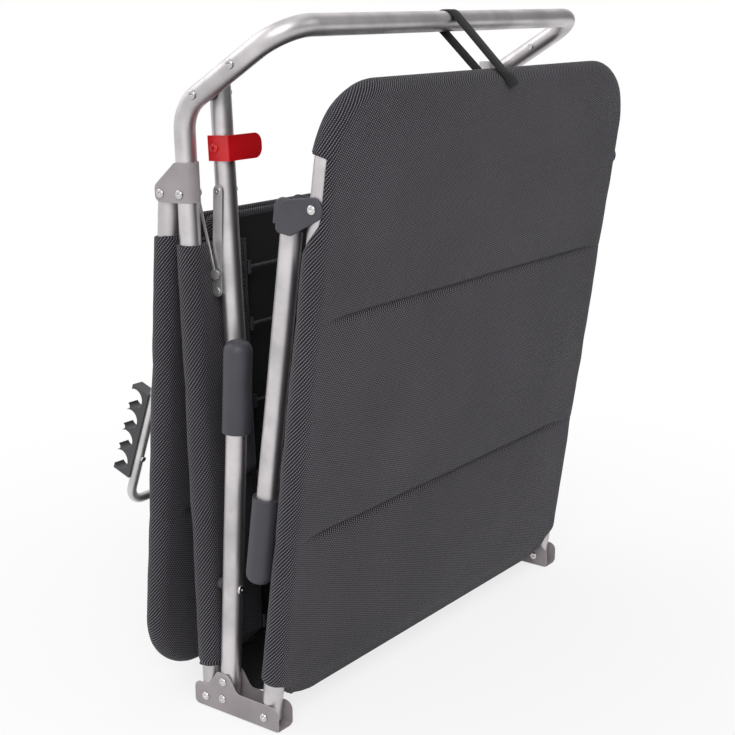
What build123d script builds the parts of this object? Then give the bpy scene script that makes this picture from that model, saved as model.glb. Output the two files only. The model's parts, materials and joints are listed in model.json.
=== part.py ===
from build123d import *
from math import atan2, cos, degrees, hypot, radians, sin, sqrt
import os

# A three-section folding lounger, folded flat and standing on its two bottom brackets.
# X is the width, -Y the front (the foot section's face), +Y the back, Z is up from the floor.

# Tubes, in millimetres
tube_diameter = 25.0
tube_wall = 1.5
frame_half_width = 320.0
tube_end_past_pivot = 5.0
bend_radius = 45.0

# Fits
running_clearance = 0.05
slip_clearance = 0.05
side_clearance = 0.3
cloth_clearance = 0.3

# Rivets and pins
rivet_radius = 3.0
rivet_head_radius = 5.5
rivet_head_height = 2.4
rivet_head_roundness = 0.8
rivet_bore_radius = 1.7
rivet_bore_share = 0.7
side_hole_reach = 40.0

# Bottom brackets
sheet_thickness = 1.5
fold_radius = 5.0
pivot_spacing = 94.0
pivot_height = 16.0
bracket_front_reach = 24.0
bracket_rear_reach = 21.0
bracket_end_height = 34.0
bracket_end_rounding = 12.0
bracket_foot_rounding = 8.0
hump_height = 55.0
hump_top_width = 20.0
hump_base_width = 48.0
hump_rounding = 8.0

# Middle legs, fixed in the bottom brackets
middle_leg_from_seat_pivot = 27.5
middle_leg_lean = 3.36
middle_leg_length = 459.0
middle_leg_floor_gap = 4.0
leg_rivet_heights = (20.0, 43.0)
foot_cap_length = 111.0
foot_cap_radius = 17.0
foot_cap_rounding = 13.0
foot_cap_end_wall = 16.0
bumper_height_on_leg = 150.0
bumper_radius = 7.0
bumper_length = 8.0
bumper_rounding = 3.0

# Seat frame
seat_lean = -1.62
seat_upright_length = 718.0
arm_bend = 59.9
arm_length = 175.0
head_leg_pivot_on_arm = 30.0
stop_stud_on_arm = 96.7
stop_stud_radius = 4.0
stop_stud_length = 2.5

# Top brackets, which carry the backrest
top_bracket_pivot = 621.0
backrest_offset = 30.0
top_bracket_above = 36.0
top_bracket_below = 10.0
top_bracket_nose_radius = 9.0
top_bracket_slope_start = 6.0
top_bracket_rounding = 8.0
top_bracket_edge_rounding = 4.0

# Backrest
backrest_swing = 4.5
backrest_length = 612.0
backrest_corner_radius = 65.0
adjuster_pivot_on_backrest = 128.0

# Backrest adjuster
adjuster_swing = 19.65
adjuster_length = 300.0
adjuster_rod_diameter = 12.0
adjuster_rod_wall = 1.5
adjuster_corner_radius = 25.0
adjuster_side_gap = 1.0
adjuster_end_past_pivot = 7.0
rack_start = 138.0
rack_notch_count = 4
rack_notch_pitch = 30.0
rack_bar_clearance = 0.3
rack_notch_centre = 23.0
rack_depth = 31.0
rack_width = 16.0
rack_end_margin = 4.0
rack_back_inset = 3.0
rack_tip_radius = 4.2
rack_tip_centre = 31.8
rack_screw_radius = 1.8
rack_screw_head_radius = 3.6
rack_screw_head_height = 2.0

# Foot section
foot_lean = 7.6
foot_length = 746.0
foot_corner_radius = 74.0
foot_leg_below_rim = 120.0
foot_leg_offset = 37.0
foot_leg_length = 463.0
hinge_cap_radius = 16.0
hinge_cap_below = 31.0
hinge_cap_above = 5.0
hinge_cap_slot = 13.8
hinge_cap_side_gap = 0.5
hinge_cap_edge = 3.0
hinge_cap_nose_radius = 12.5
hinge_cap_rounding = 13.0
hinge_cap_end_wall = 2.0

# Head legs, inside the seat frame
head_leg_inset = 34.0
head_leg_swing = -2.77
head_leg_length = 450.0
head_leg_top = 14.0
head_leg_cap_radius = 16.0
head_leg_open_angle = 105.0
spacer_radius = 8.0
spacer_gap = 0.2

# Lock clips on the head legs
clip_start = 47.0
clip_height = 29.0
clip_thickness = 2.6
clip_gap = 0.3
clip_rear_reach = 10.0
clip_front_gap = 5.0
clip_tab_length = 59.0
clip_tab_rounding = 12.0
clip_bend_radius = 4.0

# Folding braces of the head legs
brace_pivot_on_leg = 110.0
brace_plate_width = 14.0
brace_plate_thickness = 1.6
brace_plate_tail = 20.0
brace_wire_width = 2.8
brace_wire_thickness = 2.0
brace_eye_radius = 6.0
brace_gap = 0.4
brace_rivet_radius = 2.5
brace_head_height = 1.0
brace_head_radius = 4.0

# Padded covers
sleeve_radius = 16.0
pad_inner_face = 2.0
pad_edge_face = 13.0
pad_seam_face = 10.0
pad_crown = 18.0
seam_crown = 0.5
seam_half_width = 10.0
pad_tip_face = 8.0
hem_face = 9.5
hem_thickness = 3.0
hem_width = 70.0
foot_pad_start = 13.0
foot_sleeve_start = 45.0
foot_corner_cut = 42.0
foot_seams = (230.0, 498.0)
foot_window_below = 38.0
foot_window_above = 64.0
foot_window_width = 21.0
seat_sleeve_start = 36.0
seat_sleeve_end = 564.0
seat_pad_end = 590.0
seat_seams = (200.0, 390.0)
pad_neck_inset = 36.0
pad_neck_start = 575.0
backrest_pad_start = 28.0
backrest_sleeve_start = 52.0
backrest_neck_end = 42.0
backrest_seams = (210.0, 405.0)
adjuster_slot_before = 20.0
adjuster_slot_after = 90.0
adjuster_slot_depth = 10.5

# Lacing under the covers
lace_radius = 2.0
toggle_radius = 3.0
toggle_length = 16.0
toggle_gap = 0.1
foot_laces = (110.0, 230.0, 350.0, 470.0)
seat_laces = (66.0, 163.0, 260.0, 357.0, 454.0, 524.0)
backrest_laces = (280.0, 360.0, 440.0, 520.0)

# Closing strap
strap_width = 12.0
strap_thickness = 1.2
strap_end_below_rim = 2.0

tube_radius = tube_diameter / 2
foot_leg_pivot = foot_length - foot_leg_below_rim
channel_half = tube_radius + side_clearance
plate_half = channel_half + sheet_thickness
rivet_clear_radius = rivet_radius + running_clearance


def rising(point, lean):
    """Plane whose Y axis rises from a (y, z) point, leaning towards the front, with Z to the front."""
    up = Vector(0, -sin(radians(lean)), cos(radians(lean)))
    return Plane(origin=(0, point[0], point[1]), x_dir=(1, 0, 0), z_dir=Vector(1, 0, 0).cross(up))


def hanging(point, swing):
    """Plane whose Y axis hangs from a (y, z) point, swung towards the back, with Z to the back."""
    down = Vector(0, sin(radians(swing)), -cos(radians(swing)))
    return Plane(origin=(0, point[0], point[1]), x_dir=(1, 0, 0), z_dir=Vector(1, 0, 0).cross(down))


def side_point(plane, along, across=0.0):
    """The (y, z) place of a point in a section's own plane."""
    place = plane.from_local_coords(Vector(0, along, across))
    return (place.Y, place.Z)


# Section planes
foot_pivot = (-pivot_spacing / 2, pivot_height)
seat_pivot = (pivot_spacing / 2, pivot_height)
middle_leg_base = (seat_pivot[0] - middle_leg_from_seat_pivot, pivot_height)
foot_plane = rising(foot_pivot, foot_lean)
seat_plane = rising(seat_pivot, seat_lean)
middle_leg_plane = rising(middle_leg_base, middle_leg_lean)
backrest_pivot = side_point(seat_plane, top_bracket_pivot, -backrest_offset)
backrest_plane = hanging(backrest_pivot, backrest_swing)
adjuster_pivot = side_point(backrest_plane, adjuster_pivot_on_backrest)
adjuster_plane = hanging(adjuster_pivot, adjuster_swing)


def on_arm(distance):
    """Along and across places in the seat's plane, this far along the bent arm."""
    bend = radians(arm_bend)
    return (seat_upright_length + distance * cos(bend), distance * sin(bend))


head_leg_pivot = side_point(seat_plane, *on_arm(head_leg_pivot_on_arm))
head_leg_plane = hanging(head_leg_pivot, head_leg_swing)
foot_leg_pivot_point = side_point(foot_plane, foot_leg_pivot)


def placed(plane, shape):
    """A shape from a section's own plane, put in the object's frame."""
    return plane.location * shape


def mirrored(shape):
    """The right-hand copy of a left-hand piece."""
    return mirror(shape, about=Plane.YZ)


def rod(start, end, radius):
    """Round bar between two points."""
    start = Vector(*start)
    reach = Vector(*end) - start
    bar = Cylinder(radius, reach.length, align=(Align.CENTER, Align.CENTER, Align.MIN))
    return Plane(origin=start, z_dir=reach).location * bar


def block(x_range, along_range, across_range):
    """Box between two limits on each of a section's own axes."""
    limits = (x_range, along_range, across_range)
    size = [high - low for low, high in limits]
    middle = [(high + low) / 2 for low, high in limits]
    return Pos(*middle) * Box(*size)


def swept(path, radius):
    """Round bar along a path."""
    start = Plane(origin=path @ 0, z_dir=path % 0)
    return sweep(start * Circle(radius), path=path)


def bent_tube(path, diameter, wall):
    """Hollow round tube along a path."""
    return swept(path, diameter / 2) - swept(path, diameter / 2 - wall)


def straight_tube(start, end):
    """Straight length of the frame's tube."""
    return rod(start, end, tube_radius) - rod(start, end, tube_radius - tube_wall)


def dome(radius=rivet_head_radius, height=rivet_head_height):
    """Domed rivet head with the hollow that its pulled-out pin leaves, standing on the XY plane."""
    solid = Cylinder(radius, height, align=(Align.CENTER, Align.CENTER, Align.MIN))
    solid = fillet(solid.edges().group_by(Axis.Z)[-1], height * rivet_head_roundness)
    bore = Cylinder(rivet_bore_radius, height, align=(Align.CENTER, Align.CENTER, Align.MIN))
    return solid - Pos(0, 0, height * (1 - rivet_bore_share)) * bore


def head(x, direction, along, across, radius=rivet_head_radius, height=rivet_head_height):
    """Domed rivet head that stands on the plane at x."""
    return Plane(origin=(x, along, across), z_dir=(direction, 0, 0)).location * dome(radius, height)


def rivet(x_low, x_high, along, across=0.0):
    """Rivet along X, with a domed head on each side."""
    shank = rod((x_low, along, across), (x_high, along, across), rivet_radius)
    return shank + head(x_low, -1, along, across) + head(x_high, 1, along, across)


def side_hole(along, across=0.0, radius=rivet_clear_radius, centre=-frame_half_width):
    """Cutter for a hole along X through one side's pieces."""
    low = (centre - side_hole_reach, along, across)
    high = (centre + side_hole_reach, along, across)
    return rod(low, high, radius)


def foot_cap(x, along_start, along_end, cap_radius):
    """Domed plastic foot over a tube's end, which is at along_end."""
    direction = 1 if along_end > along_start else -1
    length = abs(along_end - along_start)
    cap = Cylinder(cap_radius, length, align=(Align.CENTER, Align.CENTER, Align.MIN))
    cap = fillet(cap.edges().group_by(Axis.Z)[-1], foot_cap_rounding)
    depth = length - foot_cap_end_wall
    bore = Cylinder(tube_radius + slip_clearance, depth, align=(Align.CENTER, Align.CENTER, Align.MIN))
    cap = cap - bore
    return Plane(origin=(x, along_start, 0), z_dir=(0, direction, 0)).location * cap


def rounded_outline(points, radii):
    """Face in the XY plane with a rounding at each corner that has one."""
    face = make_face(Polyline(*points, close=True))
    for point, radius in zip(points, radii):
        if radius > 0:
            corner = face.vertices().sort_by_distance((point[0], point[1], 0))[0]
            face = fillet(corner, radius)
    return face


# Bottom brackets
def bottom_bracket():
    """Folded channel of sheet that holds the seat frame, the middle leg and the foot frame."""
    front = foot_pivot[0] - bracket_front_reach
    rear = seat_pivot[0] + bracket_rear_reach
    middle = middle_leg_base[0]
    base = hump_base_width / 2
    top = hump_top_width / 2
    points = [
        (front, 0),
        (rear, 0),
        (rear, bracket_end_height),
        (middle + base, bracket_end_height),
        (middle + top, hump_height),
        (middle - top, hump_height),
        (middle - base, bracket_end_height),
        (front, bracket_end_height),
    ]
    end = bracket_end_rounding
    hump = hump_rounding
    foot = bracket_foot_rounding
    outline = rounded_outline(points, [foot, foot, end, hump, hump, hump, hump, end])
    side = Plane(origin=(-frame_half_width - plate_half, 0, 0), x_dir=(0, 1, 0), z_dir=(1, 0, 0))
    solid = extrude(side * outline, amount=2 * plate_half)
    folds = solid.edges().filter_by(Axis.Y).group_by(Axis.Z)[0]
    solid = fillet(folds, fold_radius)
    inside = block(
        (-frame_half_width - channel_half, -frame_half_width + channel_half),
        (front - fold_radius, rear + fold_radius),
        (sheet_thickness, hump_height + sheet_thickness),
    )
    inner_fold = inside.edges().filter_by(Axis.Y).group_by(Axis.Z)[0]
    solid = solid - fillet(inner_fold, fold_radius - sheet_thickness)
    for place in bracket_rivet_places():
        solid = solid - side_hole(*place, radius=rivet_radius)
    return solid


def bracket_rivet_places():
    """The (y, z) places of the two pivots and of the two rivets through the middle leg."""
    legs = []
    for height in leg_rivet_heights:
        along = (height - pivot_height) / cos(radians(middle_leg_lean))
        legs.append(side_point(middle_leg_plane, along))
    return [seat_pivot, foot_pivot] + legs


def bracket_rivets():
    """Left-hand rivets of the bottom bracket, as separate solids."""
    low = -frame_half_width - plate_half
    high = -frame_half_width + plate_half
    return [rivet(low, high, *place) for place in bracket_rivet_places()]


# Middle legs
middle_leg_start = (middle_leg_floor_gap - pivot_height) / cos(radians(middle_leg_lean))


def middle_leg():
    """Left-hand leg tube, riveted in the bottom bracket."""
    end = middle_leg_length - foot_cap_end_wall
    leg = straight_tube((-frame_half_width, middle_leg_start, 0), (-frame_half_width, end, 0))
    for height in leg_rivet_heights:
        along = (height - pivot_height) / cos(radians(middle_leg_lean))
        leg = leg - side_hole(along, radius=rivet_radius)
    bumper_hole = rod(
        (-frame_half_width, bumper_height_on_leg, -tube_diameter),
        (-frame_half_width, bumper_height_on_leg, tube_diameter),
        rivet_radius,
    )
    return placed(middle_leg_plane, leg - bumper_hole)


def middle_foot():
    """Left-hand foot of the middle leg."""
    start = middle_leg_length - foot_cap_length
    return placed(middle_leg_plane, foot_cap(-frame_half_width, start, middle_leg_length, foot_cap_radius))


def bumper():
    """Round rubber bumper behind the left-hand middle leg."""
    button = Cylinder(bumper_radius, bumper_length, align=(Align.CENTER, Align.CENTER, Align.MIN))
    button = fillet(button.edges().group_by(Axis.Z)[-1], bumper_rounding)
    place = Plane(origin=(-frame_half_width, bumper_height_on_leg, -tube_radius), z_dir=(0, 0, -1))
    seat = place.location * button
    saddle = rod(
        (-frame_half_width, bumper_height_on_leg - bumper_radius, 0),
        (-frame_half_width, bumper_height_on_leg + bumper_radius, 0),
        tube_radius,
    )
    screw = rod(
        (-frame_half_width, bumper_height_on_leg, -tube_radius - bumper_length / 2),
        (-frame_half_width, bumper_height_on_leg, 0),
        rivet_radius,
    )
    return placed(middle_leg_plane, seat - saddle - screw)


def bumper_rivet():
    """Rivet that holds the left-hand bumper, headed on the leg's front."""
    shank = rod(
        (-frame_half_width, bumper_height_on_leg, -tube_radius - bumper_length / 2),
        (-frame_half_width, bumper_height_on_leg, tube_radius),
        rivet_radius,
    )
    place = Plane(origin=(-frame_half_width, bumper_height_on_leg, tube_radius), z_dir=(0, 0, 1))
    return placed(middle_leg_plane, shank + place.location * dome())


# Places across the width, on the left
head_leg_x = -frame_half_width + head_leg_inset
brace_x_plate = head_leg_x - tube_radius - brace_gap - brace_plate_thickness
brace_x_wire = -frame_half_width + plate_half + side_clearance


# Seat frame
def seat_path(start):
    """Centre line of the seat tube, from one upright over both arms to the other."""
    arm_end = on_arm(arm_length)
    left = [
        (-frame_half_width, start, 0),
        (-frame_half_width, seat_upright_length, 0),
        (-frame_half_width, *arm_end),
    ]
    right = [(-x, along, across) for x, along, across in reversed(left)]
    return FilletPolyline(*left, *right, radius=bend_radius)


def both_sides(cutter):
    """A cutter and its copy on the other side."""
    return cutter + mirrored(cutter)


def seat_frame():
    """One bent tube: two uprights, two arms and the top bar."""
    frame = bent_tube(seat_path(-tube_end_past_pivot), tube_diameter, tube_wall)
    frame = frame - both_sides(side_hole(0))
    frame = frame - both_sides(side_hole(top_bracket_pivot, radius=rivet_radius))
    frame = frame - both_sides(side_hole(*on_arm(head_leg_pivot_on_arm), radius=rivet_radius))
    frame = frame - both_sides(side_hole(*on_arm(stop_stud_on_arm), radius=rivet_radius))
    return placed(seat_plane, frame)


def top_bracket():
    """Left-hand sheet bracket wrapped round the seat tube, whose cheeks carry the backrest."""
    low = top_bracket_pivot - top_bracket_below
    high = top_bracket_pivot + top_bracket_above
    nose = -backrest_offset - top_bracket_nose_radius
    points = [
        (low, 0),
        (high, 0),
        (high, -top_bracket_slope_start),
        (top_bracket_pivot + top_bracket_nose_radius, nose),
        (low, nose),
    ]
    end = top_bracket_rounding
    outline = rounded_outline(points, [0, 0, top_bracket_edge_rounding, end, end])
    side = Plane(origin=(-frame_half_width - plate_half, 0, 0), x_dir=(0, 1, 0), z_dir=(1, 0, 0))
    cheeks = extrude(side * outline, amount=2 * plate_half)
    back = rod((-frame_half_width, low, 0), (-frame_half_width, high, 0), plate_half)
    inside = block(
        (-frame_half_width - channel_half, -frame_half_width + channel_half),
        (low - bend_radius, high + bend_radius),
        (nose - bend_radius, 0),
    )
    bore = rod((-frame_half_width, low, 0), (-frame_half_width, high, 0), channel_half)
    bracket = cheeks + back - inside - bore
    bracket = bracket - side_hole(top_bracket_pivot, radius=rivet_radius)
    bracket = bracket - side_hole(top_bracket_pivot, -backrest_offset, radius=rivet_radius)
    return placed(seat_plane, bracket)


def top_rivets():
    """Left-hand rivets of the top bracket: one through the seat tube and the brace, one for the backrest."""
    low = -frame_half_width - plate_half
    high = -frame_half_width + plate_half
    eye_end = brace_x_wire + brace_wire_thickness + running_clearance
    through_seat = rod((low, top_bracket_pivot, 0), (eye_end, top_bracket_pivot, 0), rivet_radius)
    through_seat = through_seat + head(low, -1, top_bracket_pivot, 0)
    through_seat = through_seat + head(eye_end, 1, top_bracket_pivot, 0, height=brace_head_height)
    backrest_pin = rivet(low, high, top_bracket_pivot, -backrest_offset)
    return [placed(seat_plane, through_seat), placed(seat_plane, backrest_pin)]


def head_leg_pin():
    """Left-hand pin that the head leg turns on."""
    low = -frame_half_width - tube_radius
    high = head_leg_x + tube_radius + running_clearance
    return placed(seat_plane, rivet(low, high, *on_arm(head_leg_pivot_on_arm)))


def head_leg_spacer():
    """Left-hand washer that keeps the head leg clear of the arm."""
    along, across = on_arm(head_leg_pivot_on_arm)
    low = -frame_half_width + tube_radius + spacer_gap
    high = head_leg_x - tube_radius - spacer_gap
    washer = rod((low, along, across), (high, along, across), spacer_radius)
    return placed(seat_plane, washer - side_hole(along, across))


def stop_stud():
    """Left-hand stud on the arm that the head leg's clip catches."""
    along, across = on_arm(stop_stud_on_arm)
    low = -frame_half_width - tube_radius
    high = -frame_half_width + tube_radius
    shank = rod((low, along, across), (high, along, across), rivet_radius)
    button = rod((high, along, across), (high + stop_stud_length, along, across), stop_stud_radius)
    return placed(seat_plane, shank + button + head(low, -1, along, across))


# Backrest
def frame_loop(start, length, corner_radius):
    """Centre line of a U-shaped frame: two sides and an end bar."""
    left = [(-frame_half_width, start, 0), (-frame_half_width, length, 0)]
    right = [(-x, along, across) for x, along, across in reversed(left)]
    return FilletPolyline(*left, *right, radius=corner_radius)


def backrest_frame():
    """U-shaped tube that hangs in the top brackets."""
    path = frame_loop(-tube_end_past_pivot, backrest_length, backrest_corner_radius)
    frame = bent_tube(path, tube_diameter, tube_wall)
    frame = frame - both_sides(side_hole(0))
    frame = frame - both_sides(side_hole(adjuster_pivot_on_backrest, radius=rivet_radius))
    return placed(backrest_plane, frame)


adjuster_x = -frame_half_width + tube_radius + adjuster_side_gap + adjuster_rod_diameter / 2


def adjuster_pin():
    """Left-hand pin that joins the adjuster's rod to the backrest tube."""
    low = -frame_half_width - tube_radius + tube_wall
    high = adjuster_x + adjuster_rod_diameter / 2 + running_clearance
    shank = rod((low, adjuster_pivot_on_backrest, 0), (high, adjuster_pivot_on_backrest, 0), rivet_radius)
    inner = head(high, 1, adjuster_pivot_on_backrest, 0)
    collar_low = -frame_half_width + tube_radius
    collar_high = adjuster_x - adjuster_rod_diameter / 2 - running_clearance
    collar = rod(
        (collar_low, adjuster_pivot_on_backrest, 0),
        (collar_high, adjuster_pivot_on_backrest, 0),
        rivet_head_radius,
    )
    return placed(backrest_plane, shank + inner + collar)


# Adjuster
def adjuster_rod():
    """U-shaped rod that swings on the backrest and carries the racks."""
    left = [(adjuster_x, -adjuster_end_past_pivot, 0), (adjuster_x, adjuster_length, 0)]
    right = [(-x, along, across) for x, along, across in reversed(left)]
    path = FilletPolyline(*left, *right, radius=adjuster_corner_radius)
    loop = bent_tube(path, adjuster_rod_diameter, adjuster_rod_wall)
    loop = loop - both_sides(side_hole(0))
    for along in rack_screw_places():
        loop = loop - both_sides(rack_screw_hole(along))
    return placed(adjuster_plane, loop)


def rack_length():
    """Length of a rack, from its notches and their pitch."""
    notch = 2 * (tube_radius + rack_bar_clearance)
    return (rack_notch_count - 1) * rack_notch_pitch + notch + 2 * rack_end_margin


def rack_screw_places():
    """Places of the two screws along the rod, midway between notches."""
    first = rack_start + rack_end_margin + tube_radius + rack_bar_clearance + rack_notch_pitch / 2
    return [first, first + (rack_notch_count - 2) * rack_notch_pitch]


def rack_screw_hole(along):
    """Cutter for a screw through the left-hand rod into the rack."""
    top = adjuster_rod_diameter / 2 + rack_back_inset
    return rod((adjuster_x, along, -adjuster_rod_diameter), (adjuster_x, along, top), rack_screw_radius)


def rack():
    """Left-hand notched rack that hooks on the seat frame's top bar."""
    half = rack_width / 2
    end = rack_start + rack_length()
    bar = block((adjuster_x - half, adjuster_x + half), (rack_start, end), (rack_back_inset, rack_depth))
    first = rack_start + rack_end_margin + tube_radius + rack_bar_clearance
    for index in range(rack_notch_count):
        along = first + index * rack_notch_pitch
        notch = rod(
            (adjuster_x - rack_width, along, rack_notch_centre),
            (adjuster_x + rack_width, along, rack_notch_centre),
            tube_radius + rack_bar_clearance,
        )
        bar = bar - notch
        if index:
            tip = along - rack_notch_pitch / 2
            scallop = rod(
                (adjuster_x - rack_width, tip, rack_tip_centre),
                (adjuster_x + rack_width, tip, rack_tip_centre),
                rack_tip_radius,
            )
            bar = bar - scallop
    rod_seat = rod((adjuster_x, 0, 0), (adjuster_x, adjuster_length, 0), adjuster_rod_diameter / 2)
    bar = bar - rod_seat
    for along in rack_screw_places():
        bar = bar - rack_screw_hole(along)
    return placed(adjuster_plane, bar)


def rack_screws():
    """Left-hand screws through the rod into the rack, as separate solids."""
    screws = []
    low = -adjuster_rod_diameter / 2
    top = adjuster_rod_diameter / 2 + rack_back_inset
    for along in rack_screw_places():
        shank = rod((adjuster_x, along, low), (adjuster_x, along, top), rack_screw_radius)
        under = low - rack_screw_head_height
        button = rod((adjuster_x, along, under), (adjuster_x, along, low), rack_screw_head_radius)
        screws.append(placed(adjuster_plane, shank + button))
    return screws


# Foot section
def foot_frame():
    """U-shaped tube that rises from the bottom brackets."""
    path = frame_loop(-tube_end_past_pivot, foot_length, foot_corner_radius)
    frame = bent_tube(path, tube_diameter, tube_wall)
    frame = frame - both_sides(side_hole(0))
    frame = frame - both_sides(side_hole(foot_leg_pivot, radius=rivet_radius))
    return placed(foot_plane, frame)


def foot_leg_pin():
    """Left-hand pin of the foot leg's hinge, fixed in the foot frame."""
    reach = hinge_cap_radius + running_clearance
    return placed(foot_plane, rivet(-frame_half_width - reach, -frame_half_width + reach, foot_leg_pivot))


def foot_leg():
    """Left-hand foot leg tube, folded along the foot frame."""
    top = foot_leg_pivot - hinge_cap_slot - hinge_cap_end_wall
    end = foot_leg_pivot - foot_leg_length + foot_cap_end_wall
    leg = straight_tube(
        (-frame_half_width, top, -foot_leg_offset), (-frame_half_width, end, -foot_leg_offset)
    )
    return placed(foot_plane, leg)


def foot_leg_foot():
    """Left-hand foot of the foot leg."""
    end = foot_leg_pivot - foot_leg_length
    cap = foot_cap(-frame_half_width, end + foot_cap_length, end, foot_cap_radius)
    return placed(foot_plane, Pos(0, 0, -foot_leg_offset) * cap)


def hinge_cap():
    """Left-hand plastic fork on the foot leg's top, pivoted on the foot frame's tube."""
    rear = -foot_leg_offset - hinge_cap_radius
    low = foot_leg_pivot - hinge_cap_below
    top = foot_leg_pivot + hinge_cap_above
    nose = hinge_cap_nose_radius
    points = [
        (low, rear),
        (top, rear),
        (top, 0),
        (foot_leg_pivot - nose, 0),
        (low, -foot_leg_offset + hinge_cap_radius),
    ]
    rounding = hinge_cap_rounding
    outline = rounded_outline(points, [0, rounding, 0, 0, 0])
    outline = outline + Pos(foot_leg_pivot, 0) * Circle(nose)
    side = Plane(origin=(-frame_half_width - hinge_cap_radius, 0, 0), x_dir=(0, 1, 0), z_dir=(1, 0, 0))
    fork = extrude(side * outline, amount=2 * hinge_cap_radius)
    rims = fork.edges().group_by(Axis.X)
    fork = fillet(rims[0] + rims[-1], hinge_cap_edge)
    half_slot = tube_radius + hinge_cap_side_gap
    slot = block(
        (-frame_half_width - half_slot, -frame_half_width + half_slot),
        (foot_leg_pivot - hinge_cap_slot, top + nose),
        (rear - nose, 2 * nose),
    )
    fork = fork - slot
    front_gap = block(
        (-frame_half_width - half_slot, -frame_half_width + half_slot),
        (low - nose, foot_leg_pivot),
        (-foot_leg_offset + hinge_cap_radius - hinge_cap_end_wall, 2 * nose),
    )
    fork = fork - front_gap
    column = rod(
        (-frame_half_width, low - nose, -foot_leg_offset),
        (-frame_half_width, foot_leg_pivot - hinge_cap_slot, -foot_leg_offset),
        hinge_cap_radius,
    )
    below = block(
        (-frame_half_width - 2 * hinge_cap_radius, -frame_half_width + 2 * hinge_cap_radius),
        (low - 2 * nose, foot_leg_pivot - nose - hinge_cap_rounding),
        (rear - nose, 2 * nose),
    )
    fork = fork - (below - column)
    bore = rod(
        (-frame_half_width, low - nose, -foot_leg_offset),
        (-frame_half_width, foot_leg_pivot - hinge_cap_slot - hinge_cap_end_wall, -foot_leg_offset),
        tube_radius + slip_clearance,
    )
    fork = fork - bore - side_hole(foot_leg_pivot)
    return placed(foot_plane, fork)


# Head legs
def head_leg():
    """Left-hand head leg tube, hung inside the seat frame's arm."""
    end = head_leg_length - foot_cap_end_wall
    leg = straight_tube((head_leg_x, -head_leg_top, 0), (head_leg_x, end, 0))
    leg = leg - side_hole(0, centre=head_leg_x)
    leg = leg - side_hole(brace_pivot_on_leg, centre=head_leg_x, radius=brace_rivet_radius)
    leg = leg - side_hole(clip_start + clip_height / 2, centre=head_leg_x, radius=rivet_radius)
    return placed(head_leg_plane, leg)


def head_foot():
    """Left-hand foot of the head leg."""
    start = head_leg_length - foot_cap_length
    return placed(head_leg_plane, foot_cap(head_leg_x, start, head_leg_length, head_leg_cap_radius))


clip_outer = head_leg_x - tube_radius - clip_gap - clip_thickness
clip_front = -tube_radius - clip_front_gap - clip_thickness


def lock_clip():
    """Left-hand plastic clip: a plate on the leg's outer side and a thumb tab across its front."""
    end = clip_start + clip_height
    tab_end = clip_outer + clip_tab_length
    plate = block((clip_outer, clip_outer + clip_thickness), (clip_start, end), (clip_front, clip_rear_reach))
    tab = block((clip_outer, tab_end), (clip_start, end), (clip_front, clip_front + clip_thickness))
    tip = [edge for edge in tab.edges().filter_by(Axis.Z) if abs(edge.center().X - tab_end) < clip_gap]
    tab = fillet(tip, clip_tab_rounding)
    clip = plate + tab
    corner = [
        edge
        for edge in clip.edges().filter_by(Axis.Y)
        if abs(edge.center().X - clip_outer) < clip_gap and abs(edge.center().Z - clip_front) < clip_gap
    ]
    clip = fillet(corner, clip_bend_radius)
    clip = clip - side_hole(clip_start + clip_height / 2, centre=head_leg_x, radius=rivet_radius)
    return placed(head_leg_plane, clip)


def clip_rivet():
    """Left-hand rivet through the clip and the head leg."""
    high = head_leg_x + tube_radius
    return placed(head_leg_plane, rivet(clip_outer, high, clip_start + clip_height / 2))


# Folding braces
brace_on_seat = side_point(seat_plane, top_bracket_pivot)
brace_on_leg = side_point(head_leg_plane, brace_pivot_on_leg)


def turned(point, centre, angle):
    """A (y, z) point turned about X through a (y, z) centre, by an angle in degrees."""
    turn = radians(angle)
    y = point[0] - centre[0]
    z = point[1] - centre[1]
    return (centre[0] + y * cos(turn) - z * sin(turn), centre[1] + y * sin(turn) + z * cos(turn))


def gap_between(start, end):
    """Distance between two (y, z) points."""
    return hypot(end[0] - start[0], end[1] - start[1])


def bearing(start, end):
    """Angle of the line between two (y, z) points, in degrees from 0 to 360."""
    return degrees(atan2(end[1] - start[1], end[0] - start[0])) % 360


brace_on_open_leg = turned(brace_on_leg, head_leg_pivot, -head_leg_open_angle)
brace_link = gap_between(brace_on_seat, brace_on_open_leg) / 2
half_span = gap_between(brace_on_seat, brace_on_leg) / 2
elbow_drop = sqrt(brace_link**2 - half_span**2)
span_angle = radians(bearing(brace_on_seat, brace_on_leg))
elbow = (
    (brace_on_seat[0] + brace_on_leg[0]) / 2 - elbow_drop * sin(span_angle),
    (brace_on_seat[1] + brace_on_leg[1]) / 2 + elbow_drop * cos(span_angle),
)


def link_plane(x, start, end):
    """Plane at x whose X axis runs from one (y, z) point to another."""
    reach = gap_between(start, end)
    along = (0, (end[0] - start[0]) / reach, (end[1] - start[1]) / reach)
    return Plane(origin=(x, *start), x_dir=along, z_dir=(1, 0, 0))


def brace_wire():
    """Left-hand narrow link from the seat frame down to the elbow, with an eye at each end."""
    length = gap_between(brace_on_seat, elbow)
    outline = Pos(length / 2, 0) * Rectangle(length, brace_wire_width)
    outline = outline + Circle(brace_eye_radius) + Pos(length, 0) * Circle(brace_eye_radius)
    outline = outline - Circle(rivet_clear_radius)
    link = extrude(outline, amount=brace_wire_thickness)
    return link_plane(brace_x_wire, brace_on_seat, elbow).location * link


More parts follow.
